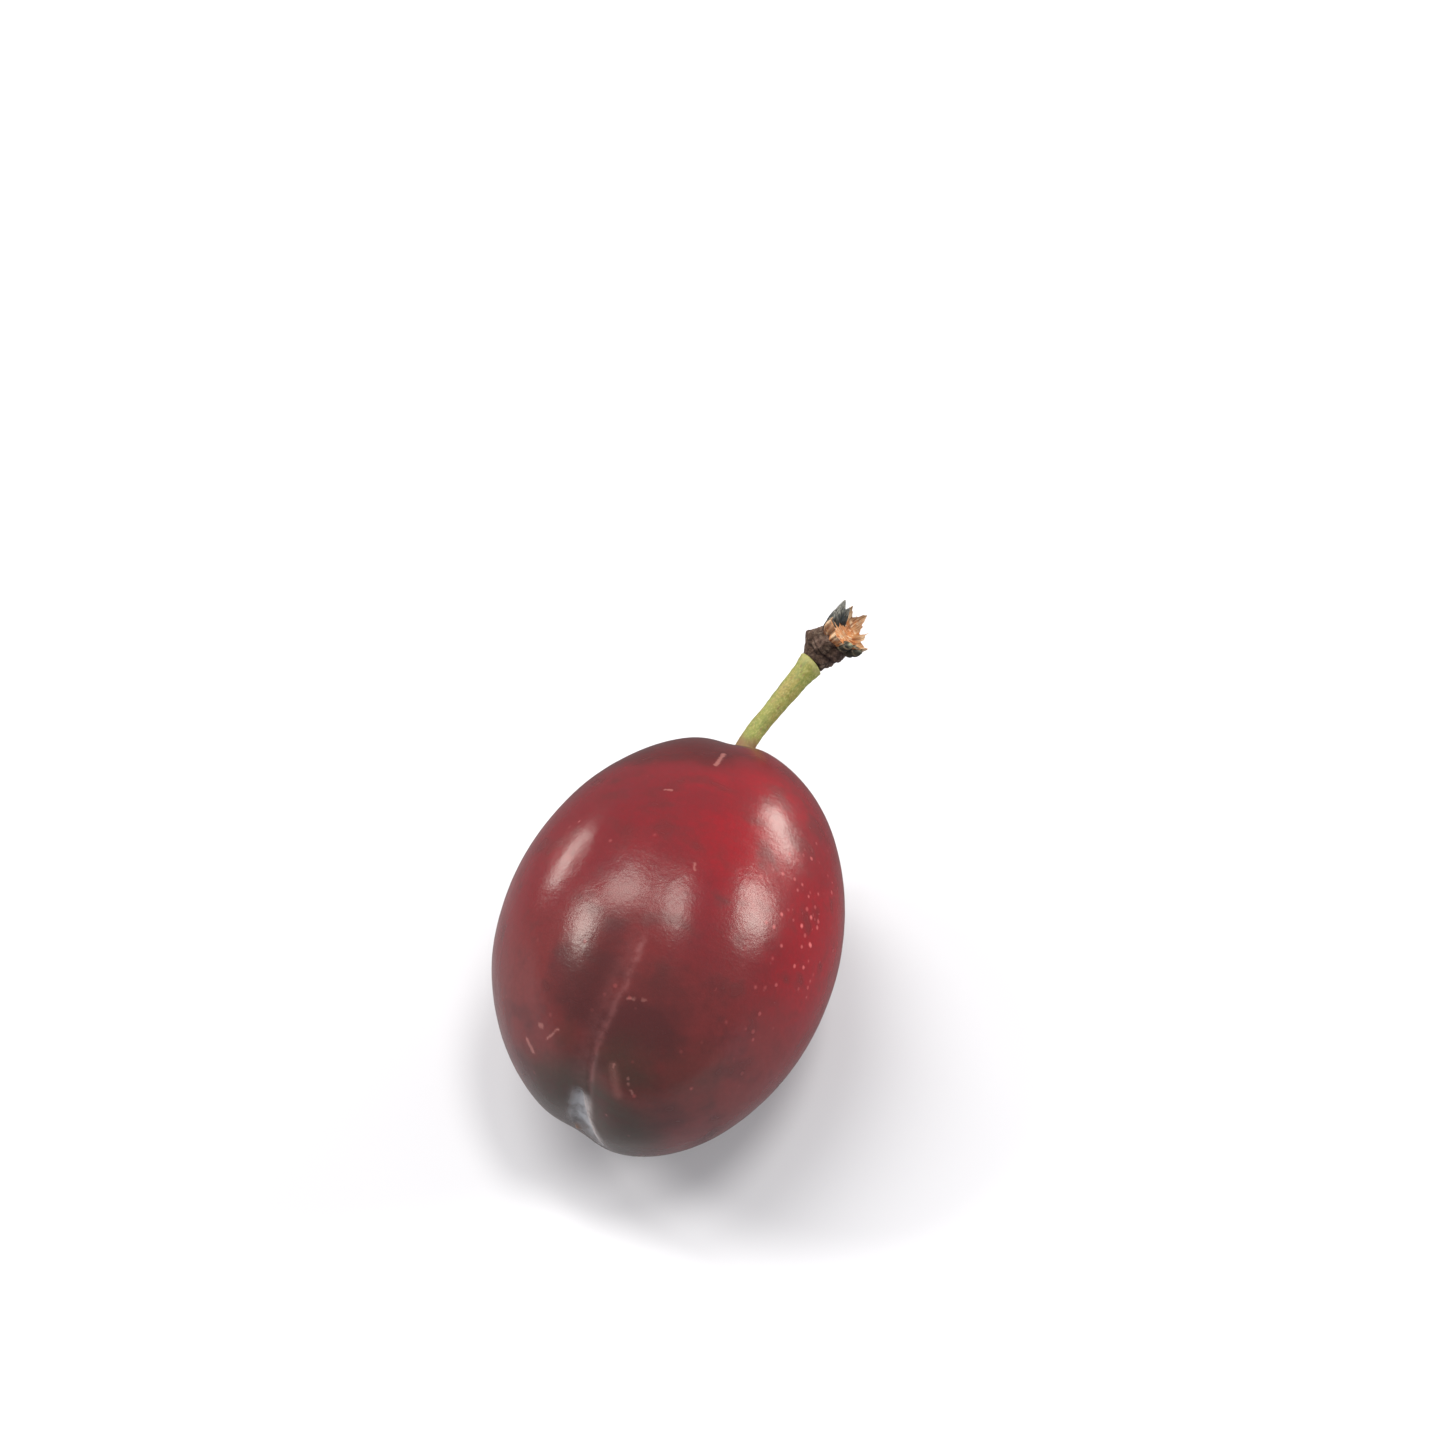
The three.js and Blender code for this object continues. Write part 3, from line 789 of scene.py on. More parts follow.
@dataclass(frozen=True)
class Fruit:
    """The fruit's skin, finer than the solid it stands for."""

    form: FruitForm = FruitForm()
    finish: SkinFinish = SkinFinish()
    skin_grid: Grid = (250, 350)
    blush: tuple[Patch, ...] = (
        Patch(1.76, 26.0, 11.0, 10.0, 0.85), Patch(1.62, 60.0, 13.0, 9.0, 0.9),
        Patch(2.15, 30.0, 6.0, 8.0, 0.9), Patch(2.1, 12.0, 8.0, 9.0, 0.6),
        Patch(1.65, -12.0, 7.0, 6.0, 0.3), Patch(1.55, -42.0, 9.0, 6.0, 0.4),
        Patch(1.80, 190.0, 12.0, 12.0, 0.5),
    )
    shade: tuple[Patch, ...] = (
        Patch(0.82, 14.0, 8.5, 7.5, 0.95), Patch(0.95, -15.0, 8.0, 6.0, 0.95),
        Patch(1.20, 150.0, 16.0, 14.0, 0.7), Patch(1.90, -110.0, 12.0, 12.0, 0.6),
    )
    brown: tuple[Patch, ...] = (
        Patch(0.75, 48.0, 7.0, 7.0, 0.5), Patch(0.58, 22.0, 6.5, 7.0, 0.72),
        Patch(0.61, -22.0, 4.0, 3.5, 0.5),
    )
    dotted: tuple[Patch, ...] = (
        Patch(1.66, 52.0, 7.5, 5.0, 0.75), Patch(1.35, 52.0, 9.0, 5.0, 0.25),
        Patch(0.75, 30.0, 8.0, 7.0, 0.12), Patch(1.45, -50.0, 8.0, 6.0, 0.12),
        Patch(1.70, 180.0, 18.0, 22.0, 0.22),
    )

    def patches(self, which: tuple[Patch, ...], from_tip: Array, from_seam: Array) -> Array:
        """The strongest of the patches: bells of the distances along and around the skin.

        Args:
            which: the patches.
            from_tip: angles from the style scar.
            from_seam: angles round the fruit from the seam.

        Returns:
            A strength from 0 to 1 at each point.
        """
        strengths = []
        for patch in which:
            along = (from_tip - patch.from_tip) * self.form.length / 2.0
            turn = from_seam - math.radians(patch.from_seam)
            chord = self.form.width * np.sin(from_tip) * np.sin(turn / 2.0)
            strength = patch.strength * bell(along, 0.0, patch.along)
            strengths.append(strength * bell(chord, 0.0, patch.around))
        return np.max(strengths, axis=0)

    def surface(self) -> Surface:
        """The skin on a grid that is closest by the seam and at both ends.

        The turn from the seam loses 0.3 sin of twice itself, and the angle from the tip loses a
        quarter of the sine of twice itself. A slow ripple, which dies out at the rest spot and the
        poles, makes the skin very slightly uneven.

        Returns:
            The surface with the masks that the finish reads.
        """
        share, turn = grid(*self.skin_grid)
        from_seam = turn - 0.3 * np.sin(2.0 * turn)
        from_tip = math.pi * share - 0.25 * np.sin(2.0 * math.pi * share)
        points = self.form.skin_point(from_tip, from_seam)
        held = smooth_step(points[..., 2], 0.4, 5.0) * np.sin(from_tip)
        waves = 0.05 * ripple(points, 11.0, 3) + 0.012 * ripple(points, 2.6, 5)
        outward = unit(points - np.array(self.form.centre))
        uneven = points + outward * (held * waves)[..., None]
        return Surface(uneven, self._masks(points, from_tip, from_seam))

    def _masks(self, points: Array, from_tip: Array, from_seam: Array) -> dict[str, Array]:
        """What the finish reads: zones of colour, pale dots, the seam's line, wax, the cleft's ridge with
        its painted highlight, and the style scar.

        The seam's line is a narrow bell about a wobbling middle, in a wide faint one.

        Args:
            points: the skin's points.
            from_tip: angles from the style scar.
            from_seam: angles round the fruit from the seam.

        Returns:
            The masks on the skin's grid, by name.
        """
        ring, across, up = self.form.off_axis(from_tip, from_seam)
        near_tip = (from_tip < math.pi / 2.0) * 1.0
        length = band(from_tip, (0.25, 0.4), (1.12, 1.24)) * (np.cos(from_seam) > 0.0)
        wobble = 0.16 * ripple(points, 2.2, 6) + 0.07 * ripple(points, 0.7, 7)
        strength = 0.3 + 0.25 * bell(from_tip, 1.12, 0.1)
        line = strength * bell(across, wobble, 0.45) + 0.16 * bell(across, -1.0, 1.5)
        ridge, wax = self.wax_lines(across, up)
        hollow = bell(ring, 0.0, 4.2) * (1.0 - near_tip)
        scar = self.form.scar
        shade = self.patches(self.shade, from_tip, from_seam)
        brown = self.patches(self.brown, from_tip, from_seam)
        return {
            "blush": self.patches(self.blush, from_tip, from_seam),
            "dull": 0.8 * (1.0 - smooth_step(from_tip, 0.9, 1.45)),
            "shade": np.maximum(shade, 0.35 * (1.0 - smooth_step(from_tip, 0.7, 1.1))),
            "dotted": self.patches(self.dotted, from_tip, from_seam) + 0.01,
            "shoulder": smooth_step(from_tip, 1.95, 2.4) * (1.0 - 0.75 * smooth_step(across, -1.0, 6.0)),
            "dusk": np.maximum(brown, 1.0 - smooth_step(from_tip, 0.2, 0.75)),
            "seam": line * length,
            "wax": np.clip(wax * near_tip + 0.15 * hollow, 0.0, 1.0),
            # the cleft's right ridge: partly wax, partly a painted highlight
            "ridge": ridge * near_tip,
            "scar": bell(across, scar[0], 0.5) * bell(up, scar[1], 0.6) * near_tip,
        }

    def wax_lines(self, across: Array, up: Array) -> tuple[Array, Array]:
        """Where the cleft is pale: strongest along both of its edges, softer on its floor, with a painted
        highlight on the right edge.

        Args:
            across: distance sideways from the tip's pole, in millimetres.
            up: distance from it towards the seam.

        Returns:
            The pale ridge on the right, partly wax and partly a painted highlight, and the blue-grey wax
            on the floor and on the left edge.
        """
        left, right = self.form.cleft_edges(up)
        ends = band(up, (-6.5, -1.5), (3.6, 6.4))
        floor = band(across, (left - 1.0, left + 1.0), (right - 0.4, right + 0.9))
        wax = np.maximum(0.88 * floor, 0.6 * bell(across, left + 0.25, 0.7))
        return 0.8 * bell(across, right + 0.15, 0.9) * ends, wax * ends

    def build(self) -> Object:
        """The skin as a piece, in place of the plain solid."""
        piece = make_piece("fruit_skin", [self.surface()], self.finish.build(self.form))
        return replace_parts(piece, "fruit")


# The stalk


@dataclass(frozen=True)
class StalkFinish:
    """The stalk's skin: yellow-green, finely speckled, brown at its foot and paler at its rim."""

    green: Tint = tint(118, 124, 54)
    yellow: Tint = tint(134, 120, 60)
    leaf: Tint = tint(88, 104, 46)
    brown: Tint = tint(104, 70, 44)
    pale: Tint = tint(148, 146, 92)

    def build(self) -> Material:
        """The material: lengthwise streaks, specks, a brown foot and a pale rim.

        Returns:
            The material.
        """
        stem = Finish(bpy.data.materials.new("stalk_skin"))
        streaks = stem.noise(0.5, stem.grain(0.16))
        clouds = stem.noise(2.4, stem.grain(0.6))
        fine = stem.noise(0.22, stem.grain(0.7), detail=2.0)
        foot = stem.sum(Sum.TIMES, stem.mask("foot"), stem.span(clouds, 0.25, 0.7, 0.5, 1.0))
        colour = stem.layers(
            self.green,
            (stem.span(clouds, 0.35, 0.65), self.yellow),
            (stem.span(streaks, 0.45, 0.7, 0.0, 0.6), self.leaf),
            (stem.span(fine, 0.5, 0.66, 0.0, 0.6), self.pale),
            (stem.span(fine, 0.5, 0.34, 0.0, 0.5), self.leaf),
            (stem.sum(Sum.TIMES, stem.dots(0.55, 0.2, 0.5, stem.grain(0.6)), 0.6), self.brown),
            (foot, self.brown),
            (stem.sum(Sum.TIMES, stem.mask("rim"), 0.6), self.pale),
        )
        stem.set(Base_Color=colour, Roughness=stem.span(fine, 0.3, 0.7, 0.5, 0.68), IOR=1.45)
        stem.set(Normal=stem.relief((fine, 0.03), (streaks, 0.08)))
        return stem.owner


@dataclass(frozen=True)
class Stalk:
    """The fruit's stalk, from the hollow to its flared rim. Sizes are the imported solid's."""

    length: float = 19.45
    radius: float = 1.22
    upper_radius: float = 1.45
    rim_radius: float = 1.75
    rim_slant: float = 0.2
    slant_fade: float = 8.0
    lean: Triple = (0.359, 0.922, 0.145)
    bend: float = 9.0
    socket_depth: float = 0.9
    joint_gap: float = 0.3
    finish: StalkFinish = StalkFinish()
    rows: int = 240
    columns: int = 72

    def heading(self) -> Array:
        """Unit direction of the stalk above its bend."""
        return unit(np.array(self.lean))

    def line(self, form: FruitForm) -> Line:
        """The middle line: out of the hollow along +Y, bending to the lean.

        Args:
            form: the fruit's form, whose hollow holds the foot.

        Returns:
            The line.
        """
        half = self.bend / 2.0
        foot = form.on_skin(math.pi, 0.0) + (self.joint_gap - self.socket_depth) * ALONG
        bend = foot + half * ALONG
        curve = Line.bent(foot, bend, bend + half * self.heading())
        return curve.then(bend + (self.length - half) * self.heading())

    def profile(self) -> tuple[Array, Array]:
        """The smooth outline, from the foot's middle to the rim's.

        Returns:
            Shares of the length, and the radii there.
        """
        radius, upper, rim = self.radius, self.upper_radius, self.rim_radius
        knots = [
            (0.0, 0.0), (0.001, 0.6), (0.012, 0.95), (0.04, radius), (0.2, radius), (0.35, radius + 0.03),
            (0.5, radius + 0.01), (0.63, radius + 0.06), (0.75, upper - 0.05), (0.85, upper),
            (0.92, upper + 0.12), (0.975, rim), (0.993, rim), (1.0, rim - 0.18), (1.0, 0.0),
        ]
        return outline(knots, self.rows, self.length)

    def surface(self, form: FruitForm) -> Surface:
        """The stalk: its profile with shallow lengthwise ribs and a slightly lumpy side.

        The radius grows by a share of cos of three and of seven times the turn, and by a ripple.

        Args:
            form: the fruit's form.

        Returns:
            The surface with masks for the foot and the rim.
        """
        share, radius = self.profile()
        turn = turns(self.columns)
        radii = radius[:, None] * (1.0 + 0.012 * np.cos(3.0 * turn + 0.6) + 0.008 * np.cos(7.0 * turn))
        ribbed = swept(self.line(form), share, radii, self.columns).points
        lumps = 0.025 * ripple(ribbed, 2.4, 11) + 0.016 * ripple(ribbed, 0.8, 12)
        radii = radii * (1.0 + lumps * smooth_step(radius, 0.3, 1.0)[:, None])
        stem = swept(self.line(form), share, radii, self.columns)
        slant = -self.rim_slant * stem.masks["grain"][..., 0] * share[:, None] ** self.slant_fade
        stem.points += slant[..., None] * self.heading()
        along = share[:, None] + 0.02 * ripple(stem.points, 1.5, 13)
        stem.masks["foot"] = 1.0 - smooth_step(along, 0.24, 0.33)
        stem.masks["rim"] = smooth_step(along, 0.93, 0.985)
        return stem

    def build(self, form: FruitForm) -> Object:
        """The stalk as a piece, in place of the plain solid."""
        piece = make_piece("stalk_stem", [self.surface(form)], self.finish.build())
        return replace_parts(piece, "stalk")


# The spur


@dataclass(frozen=True)
class BarkFinish:
    """Corky spur bark: greyish brown with pinkish patches, with painted shade in its creases."""

    brown: Tint = tint(68, 52, 43)
    pink: Tint = tint(99, 79, 71)
    grey: Tint = tint(105, 91, 80)
    dark: Tint = tint(30, 18, 17)

    def build(self) -> Material:
        """The material: clouds of three browns, painted shade in the creases and a fine rough relief.

        Returns:
            The material.
        """
        bark = Finish(bpy.data.materials.new("spur_bark"))
        patches = bark.noise(0.8, detail=4.0, rough=0.65)
        fine = bark.noise(0.18, rough=0.7)
        colour = bark.layers(
            self.brown,
            (bark.span(bark.noise(1.6, detail=4.0), 0.4, 0.62), self.pink),
            (bark.span(patches, 0.5, 0.68), self.grey),
            (bark.span(fine, 0.5, 0.72, 0.0, 0.6), self.dark),
            # painted shade: darkens the grooves and cracks
            (bark.mask("crease"), self.dark),
        )
        bark.set(Base_Color=colour, Roughness=bark.span(fine, 0.3, 0.7, 0.78, 0.95))
        bark.set(Normal=bark.relief((patches, 0.15), (fine, 0.12)), Specular_IOR_Level=0.3)
        return bark.owner


@dataclass(frozen=True)
class WoodFinish:
    """Freshly torn wood: orange and tan, in fibres along each splinter, with pale frayed tips."""

    orange: Tint = tint(170, 106, 56)
    tan: Tint = tint(168, 124, 84)
    rust: Tint = tint(108, 60, 36)
    pale: Tint = tint(200, 178, 150)

    def build(self) -> Material:
        """The material: fibres in three tones, painted shade in the creases and paler at the tips.

        Returns:
            The material.
        """
        wood = Finish(bpy.data.materials.new("torn_wood"))
        fibres = wood.noise(0.22, wood.grain(0.12), rough=0.65)
        colour = wood.layers(
            self.orange,
            (wood.span(wood.noise(1.1), 0.42, 0.58), self.tan),
            (wood.span(wood.noise(0.8, detail=2.0), 0.52, 0.66, 0.0, 0.8), self.pale),
            (wood.span(fibres, 0.48, 0.66, 0.0, 0.85), self.rust),
            # painted shade: rust in the hollows between lumps and teeth
            (wood.mask("crease"), self.rust),
            (wood.sum(Sum.TIMES, wood.mask("tip"), wood.span(fibres, 0.6, 0.35, 0.4, 1.0)), self.pale),
        )
        wood.set(Base_Color=colour, Roughness=wood.span(fibres, 0.3, 0.7, 0.6, 0.8))
        wood.set(Normal=wood.relief((fibres, 0.12)), Specular_IOR_Level=0.35)
        return wood.owner


@dataclass(frozen=True)
class BudFinish:
    """Bud scales: nearly black with an olive or grey cast and pale worn edges."""

    name: str
    dark: Tint
    cast: Tint
    edge: Tint
    bare: Tint

    def build(self) -> Material:
        """The material: a dark scale, its cast in clouds, pale edges and a bare tip.

        Returns:
            The material.
        """
        bud = Finish(bpy.data.materials.new(self.name))
        fine = bud.noise(0.16, bud.grain(0.3))
        colour = bud.layers(
            self.dark,
            (bud.span(bud.noise(0.7), 0.38, 0.66), self.cast),
            (bud.sum(Sum.TIMES, bud.mask("crease"), bud.span(fine, 0.35, 0.6)), self.edge),
            (bud.sum(Sum.TIMES, bud.mask("tip"), bud.span(fine, 0.35, 0.6, 0.3, 1.0)), self.bare),
        )
        bud.set(Base_Color=colour, Roughness=bud.span(fine, 0.3, 0.7, 0.45, 0.7))
        bud.set(Normal=bud.relief((fine, 0.06)))
        return bud.owner


@dataclass(frozen=True)
class Shoot:
    """A pointed body on the spur: its tip by turn, reach and rise from the heart, and its radius."""

    turn: float
    reach: float
    rise: float
    radius: float = 0.95


@dataclass(frozen=True)
class Spur:
    """The knot of spur wood: bark, stalk seats, torn wood and buds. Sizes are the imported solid's."""

    axis: Triple = (0.683, 0.382, 0.623)
    from_rim: Triple = (1.2, 2.67, 0.68)
    length: float = 5.8
    radius: float = 2.6
    rings: int = 4
    ring_depth: float = 0.14
    fine_ring: float = 0.75
    heart_rise: float = 2.9
    seat_radius: float = 1.65
    seat_foot: float = 2.0
    seat_length: float = 2.6
    seat_overlap: float = 0.05
    old_seat_rim: Triple = (-2.55, -0.45, 0.4)
    old_seat_heading: Triple = (0.88, 0.38, -0.05)
    old_seat_hollow: float = 0.09
    torn_root: float = -2.2
    torn_hollow: float = 0.2
    torn_reach: float = 2.2
    torn_rise: float = 0.5
    torn_sharpness: float = 5.0
    splinters: tuple[Shoot, ...] = (
        Shoot(2.0, 3.0, 0.4), Shoot(1.43, 4.0, 1.0), Shoot(-0.1, 3.6, 2.4),
        Shoot(-0.75, 3.6, 3.0), Shoot(-1.85, 1.8, 2.9), Shoot(-2.6, 3.3, 2.4),
    )
    scales: tuple[Shoot, ...] = (
        Shoot(0.15, 3.0, 2.3, 0.75), Shoot(0.4, 4.0, 2.6, 0.8), Shoot(0.68, 3.5, 2.1, 0.75),
        Shoot(0.95, 3.5, 1.4, 0.8), Shoot(1.2, 3.5, 0.8, 0.75),
    )
    scale_thickness: float = 0.45
    scale_seed: int = 70
    buds: tuple[Shoot, ...] = (Shoot(2.9, 2.6, 1.3, 0.75), Shoot(-2.75, 3.3, 1.4, 0.9))
    bud_root: Pair = (1.5, -1.0)
    knob_grid: Grid = (170, 200)
    seat_grid: Grid = (70, 90)
    scale_grid: Grid = (70, 60)
    torn_grid: Grid = (110, 260)
    bud_grid: Grid = (90, 96)
    bark: BarkFinish = BarkFinish()
    wood: WoodFinish = WoodFinish()
    scale_finish: BudFinish = BudFinish(
        "bud_scale", tint(24, 26, 28), tint(54, 62, 66), tint(120, 120, 114), tint(140, 140, 134)
    )
    bud_finish: BudFinish = BudFinish(
        "round_bud", tint(30, 30, 22), tint(56, 56, 40), tint(92, 80, 62), tint(128, 130, 108)
    )

    def point(self, origin: Array, turn: Array, reach: Array, rise: Array) -> Array:
        """Places about the spur's axis.

        Args:
            origin: a point on the axis.
            turn: angle about the axis.
            reach: distance from it.
            rise: distance along it from the origin.

        Returns:
            The points, with three numbers in the last axis.
        """
        along = unit(np.array(self.axis))
        first = unit(np.cross(UP, along))
        second = np.cross(along, first)
        turn, reach, rise = (np.asarray(value, float)[..., None] for value in (turn, reach, rise))
        return origin + reach * (np.cos(turn) * first + np.sin(turn) * second) + rise * along

    def knob(self, middle: Array) -> Surface:
        """The bark knob: a stubby barrel with ring scars, uneven sides and cracked bark.

        The reach is the barrel, sin of the way along to the power 0.55, times the radius with
        coarse rings, fine rings towards the foot, lumps and two sizes of crack.

        Args:
            middle: the spur's middle.

        Returns:
            The surface with its creases, a mask of painted shade.
        """
        share, turn = grid(*self.knob_grid)
        height = -self.length / 2.0 * np.cos(math.pi * share)
        barrel = np.sin(math.pi * share) ** 0.55
        coarse = self.ring_depth * np.sin(2.0 * math.pi * self.rings * share + 0.6 * np.sin(turn))
        lumps = 0.16 * np.sin(3.0 * turn + 1.1 + 2.0 * share) + 0.1 * np.sin(5.0 * turn - 3.0 * share)
        radius = self.radius + coarse + lumps
        plain = self.point(middle, turn, barrel * radius, height)
        towards_foot = 1.0 - smooth_step(share, 0.45, 0.75)
        wave = height / self.fine_ring + 0.35 * ripple(plain, 3.0, 21)
        grooves = (0.5 + 0.5 * np.cos(2.0 * math.pi * wave)) ** 2 * towards_foot
        cracks = crease(plain, 1.3, 22)
        warts = ripple(plain, 0.7, 23)
        reach = barrel * (radius - 0.22 * grooves - 0.1 * cracks + 0.07 * warts)
        # painted shade: darkest in the grooves towards the foot and in the cracks beyond them, lighter on
        # the warts
        dark = np.clip(0.8 * grooves + 0.6 * cracks * (1.0 - towards_foot), 0.0, 1.0)
        dark = dark * (0.75 - 0.35 * warts)
        return Surface(self.point(middle, turn, reach, height), {"crease": np.clip(dark, 0.0, 1.0)})

    def seat(self, rim: Array, inwards: Array, sunk: float = 0.0) -> Surface:
        """The neck of bark that a stalk stands on, widening inwards, with a rippled and cracked side.

        Args:
            rim: the middle of its open end.
            inwards: its heading, away from the stalk.
            sunk: how deep its end is hollowed, as a share of its length.

        Returns:
            The surface with its creases, a mask of painted shade.
        """
        radius, foot, (rows, columns) = self.seat_radius, self.seat_foot, self.seat_grid
        knots = [
            (sunk, 0.0), (sunk, 0.55 * radius), (0.03, 0.78 * radius), (0.0, 0.9 * radius),
            (0.08, radius), (0.5, 0.5 * (radius + foot)), (0.95, foot), (1.0, 0.9 * foot), (1.0, 0.0),
        ]
        share, reach = outline(knots, rows)
        line = Line.straight(rim, rim + self.seat_length * inwards)
        plain = swept(line, share, reach, columns).points
        cracks = crease(plain, 1.0, 32)
        relief = (0.05 * ripple(plain, 0.8, 31) - 0.08 * cracks) * smooth_step(reach, 0.2, 0.9)[:, None]
        bark = swept(line, share, reach[:, None] + relief, columns)
        # the cracks carry painted shade
        return Surface(bark.points, {"crease": cracks})

    def shoot(self, root: Array, tip: Array, radius: float, seed: int) -> Surface:
        """A bud scale: a flat pointed body that bows to one side, with three sizes of ridge along it.

        Args:
            root: where it springs from.
            tip: where it ends.
            radius: its greatest radius.
            seed: picks its ridges.

        Returns:
            The surface with its creases and its tip.
        """
        knots = [(0.0, 0.0), (0.1, 0.8), (0.3, 1.0), (0.6, 0.78), (0.87, 0.34), (0.97, 0.12), (1.0, 0.0)]
        rows, columns = self.scale_grid
        share, reach = outline(knots, rows)
        turn = turns(columns)
        draw = np.random.default_rng(seed)
        phase = draw.uniform(0.0, 2.0 * math.pi, 3)
        bow = 0.12 * np.linalg.norm(tip - root) * unit(draw.normal(size=3))
        along = share[:, None]
        waves = zip((0.2, 0.13, 0.07), (3.0, 8.0, 15.0), phase, (1.0, 2.0, -3.0))
        ridges = sum(high * np.sin(many * turn + start + lag * along) for high, many, start, lag in waves)
        line = Line.bent(root, (root + tip) / 2.0 + bow, tip)
        body = swept(line, share, radius * reach[:, None] * (1.0 + ridges), columns, self.scale_thickness)
        body.masks["crease"] = smooth_step(-ridges, 0.05, 0.28)
        body.masks["tip"] = smooth_step(along + 0.12 * np.sin(8.0 * turn + phase[1]), 0.55, 0.95)
        return body

    def torn_rim(self, turn: Array) -> tuple[Array, Array, Array]:
        """The torn rim, drawn out towards the nearest splinter.

        The pull is e to the power of minus the sharpness times the sine of half the turn away.

        Args:
            turn: turns about the axis.

        Returns:
            How strongly a splinter draws the rim, and the rim's reach and rise.
        """
        tips = np.array([(tip.turn, tip.reach, tip.rise) for tip in self.splinters])
        away = np.abs(np.sin((turn[:, None] - tips[:, 0]) / 2.0))
        nearest = tips[np.argmin(away, axis=1)]
        pull = np.exp(-self.torn_sharpness * away.min(axis=1))
        reach = self.torn_reach + pull * (nearest[:, 1] - self.torn_reach)
        return pull, reach, self.torn_rise + pull * (nearest[:, 2] - self.torn_rise)

    def torn_cup(self, heart: Array) -> Surface:
        """The torn end: a ragged cup of wood, thick at its floor, with fibres that fray its rim.

        The height goes from root to rim by the way out to the power 1.5 outside, and from hollow
        to rim by its square inside.

        Args:
            heart: the middle of the torn end.

        Returns:
            The surface with its grain, its creases as a mask of painted shade, and its frayed tips.
        """
        share, turn = grid(*self.torn_grid)
        pull, reach, rise = self.torn_rim(turn[0])
        teeth = 0.5 * np.sin(31.0 * turn + 3.0 * np.sin(2.0 * turn)) + 0.5 * np.sin(47.0 * turn + 1.0)
        outwards = 1.0 - np.abs(2.0 * share - 1.0)
        inside = share > 0.5
        floor = np.where(inside, self.torn_hollow, self.torn_root)
        climb = outwards ** np.where(inside, 2.0, 1.5)
        height = floor + (rise - floor) * climb + 0.14 * teeth * outwards**3
        wide = reach * np.sin(math.pi / 2.0 * outwards) * (1.0 + 0.035 * teeth * outwards**2)
        lumps = ripple(self.point(heart, turn, wide, height), 0.9, 41)
        raised = height + 0.12 * lumps * np.sin(math.pi * share)
        points = self.point(heart, turn, wide * (1.0 + 0.03 * lumps), raised)
        masks = {
            "grain": np.stack([2.0 * np.cos(turn), 2.0 * np.sin(turn), wide], axis=-1),
            # painted shade: the hollows between lumps and teeth
            "crease": smooth_step(-lumps - 0.6 * teeth, 0.2, 1.4) * np.where(inside, 0.8, 1.0),
            "tip": smooth_step(outwards + 0.2 * teeth * pull, 0.6, 1.0) * smooth_step(pull, 0.25, 0.8),
        }
        return Surface(points, masks)

    def round_bud(self, root: Array, tip: Array, radius: float, bare: bool) -> Surface:
        """The round bud: overlapping scales in a spiral, each edge a small step outwards.

        The radius has a saw tooth of the way along plus the turn, which makes the spiral's edges.

        Args:
            root: where it springs from.
            tip: its tip.
            radius: its greatest radius.
            bare: whether its tip shows the pale bud inside.

        Returns:
            The surface with its scales' edges and its tip.
        """
        knots = [(0.0, 0.0), (0.08, 0.7), (0.3, 1.0), (0.6, 0.9), (0.85, 0.5), (0.96, 0.2), (1.0, 0.0)]
        rows, columns = self.bud_grid
        share, reach = outline(knots, rows)
        turn = turns(columns)
        along = share[:, None]
        saw = np.mod(2.6 * along + turn / (2.0 * math.pi) + 0.16 * np.sin(2.0 * turn), 1.0)
        radii = radius * reach[:, None] * (0.9 + 0.14 * band(saw, (0.0, 0.85), (0.88, 1.0)))
        body = swept(Line.straight(root, tip), share, radii, columns)
        body.masks["crease"] = smooth_step(saw, 0.7, 0.9)
        body.masks["tip"] = smooth_step(along + 0.0 * turn, 0.78, 0.9) * float(bare)
        return body

    def build(self, stalk: Stalk, form: FruitForm) -> list[Object]:
        """The spur's pieces, in place of the plain solid.

        Args:
            stalk: the stalk whose rim it holds.
            form: the fruit's form.

        Returns:
            The pieces.
        """
        rim = stalk.line(form).points[-1]
        middle = rim + np.array(self.from_rim)
        heart = self.point(middle, 0.0, 0.0, self.heart_rise)
        seat = self.seat(rim - self.seat_overlap * stalk.heading(), stalk.heading())
        old_rim, inwards = np.array(self.old_seat_rim), unit(np.array(self.old_seat_heading))
        old_seat = self.seat(middle + old_rim, inwards, self.old_seat_hollow)
        bark = make_piece("spur_knob", [self.knob(middle), seat, old_seat], self.bark.build())
        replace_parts(bark, "spur")
        torn = make_piece("torn_wood", [self.torn_cup(heart)], self.wood.build())

        def ends(body: Shoot) -> tuple[Array, Array, float]:
            """A body's root and tip, and its radius."""
            root = self.point(heart, body.turn, *self.bud_root)
            return root, self.point(heart, body.turn, body.reach, body.rise), body.radius

        scales = [self.shoot(*ends(scale), self.scale_seed + i) for i, scale in enumerate(self.scales)]
        scale_piece = make_piece("bud_scales", scales, self.scale_finish.build())
        round_buds = [self.round_bud(*ends(bud), i == 0) for i, bud in enumerate(self.buds)]
        bud_piece = make_piece("side_buds", round_buds, self.bud_finish.build())
        return [bark, torn, scale_piece, bud_piece]


# The studio


def compass(azimuth: float, elevation: float) -> Array:
    """Unit direction for degrees from -Y towards +X, and degrees above the floor."""
    turn, rise = math.radians(azimuth), math.radians(elevation)
    return np.array([math.sin(turn) * math.cos(rise), -math.cos(turn) * math.cos(rise), math.sin(rise)])


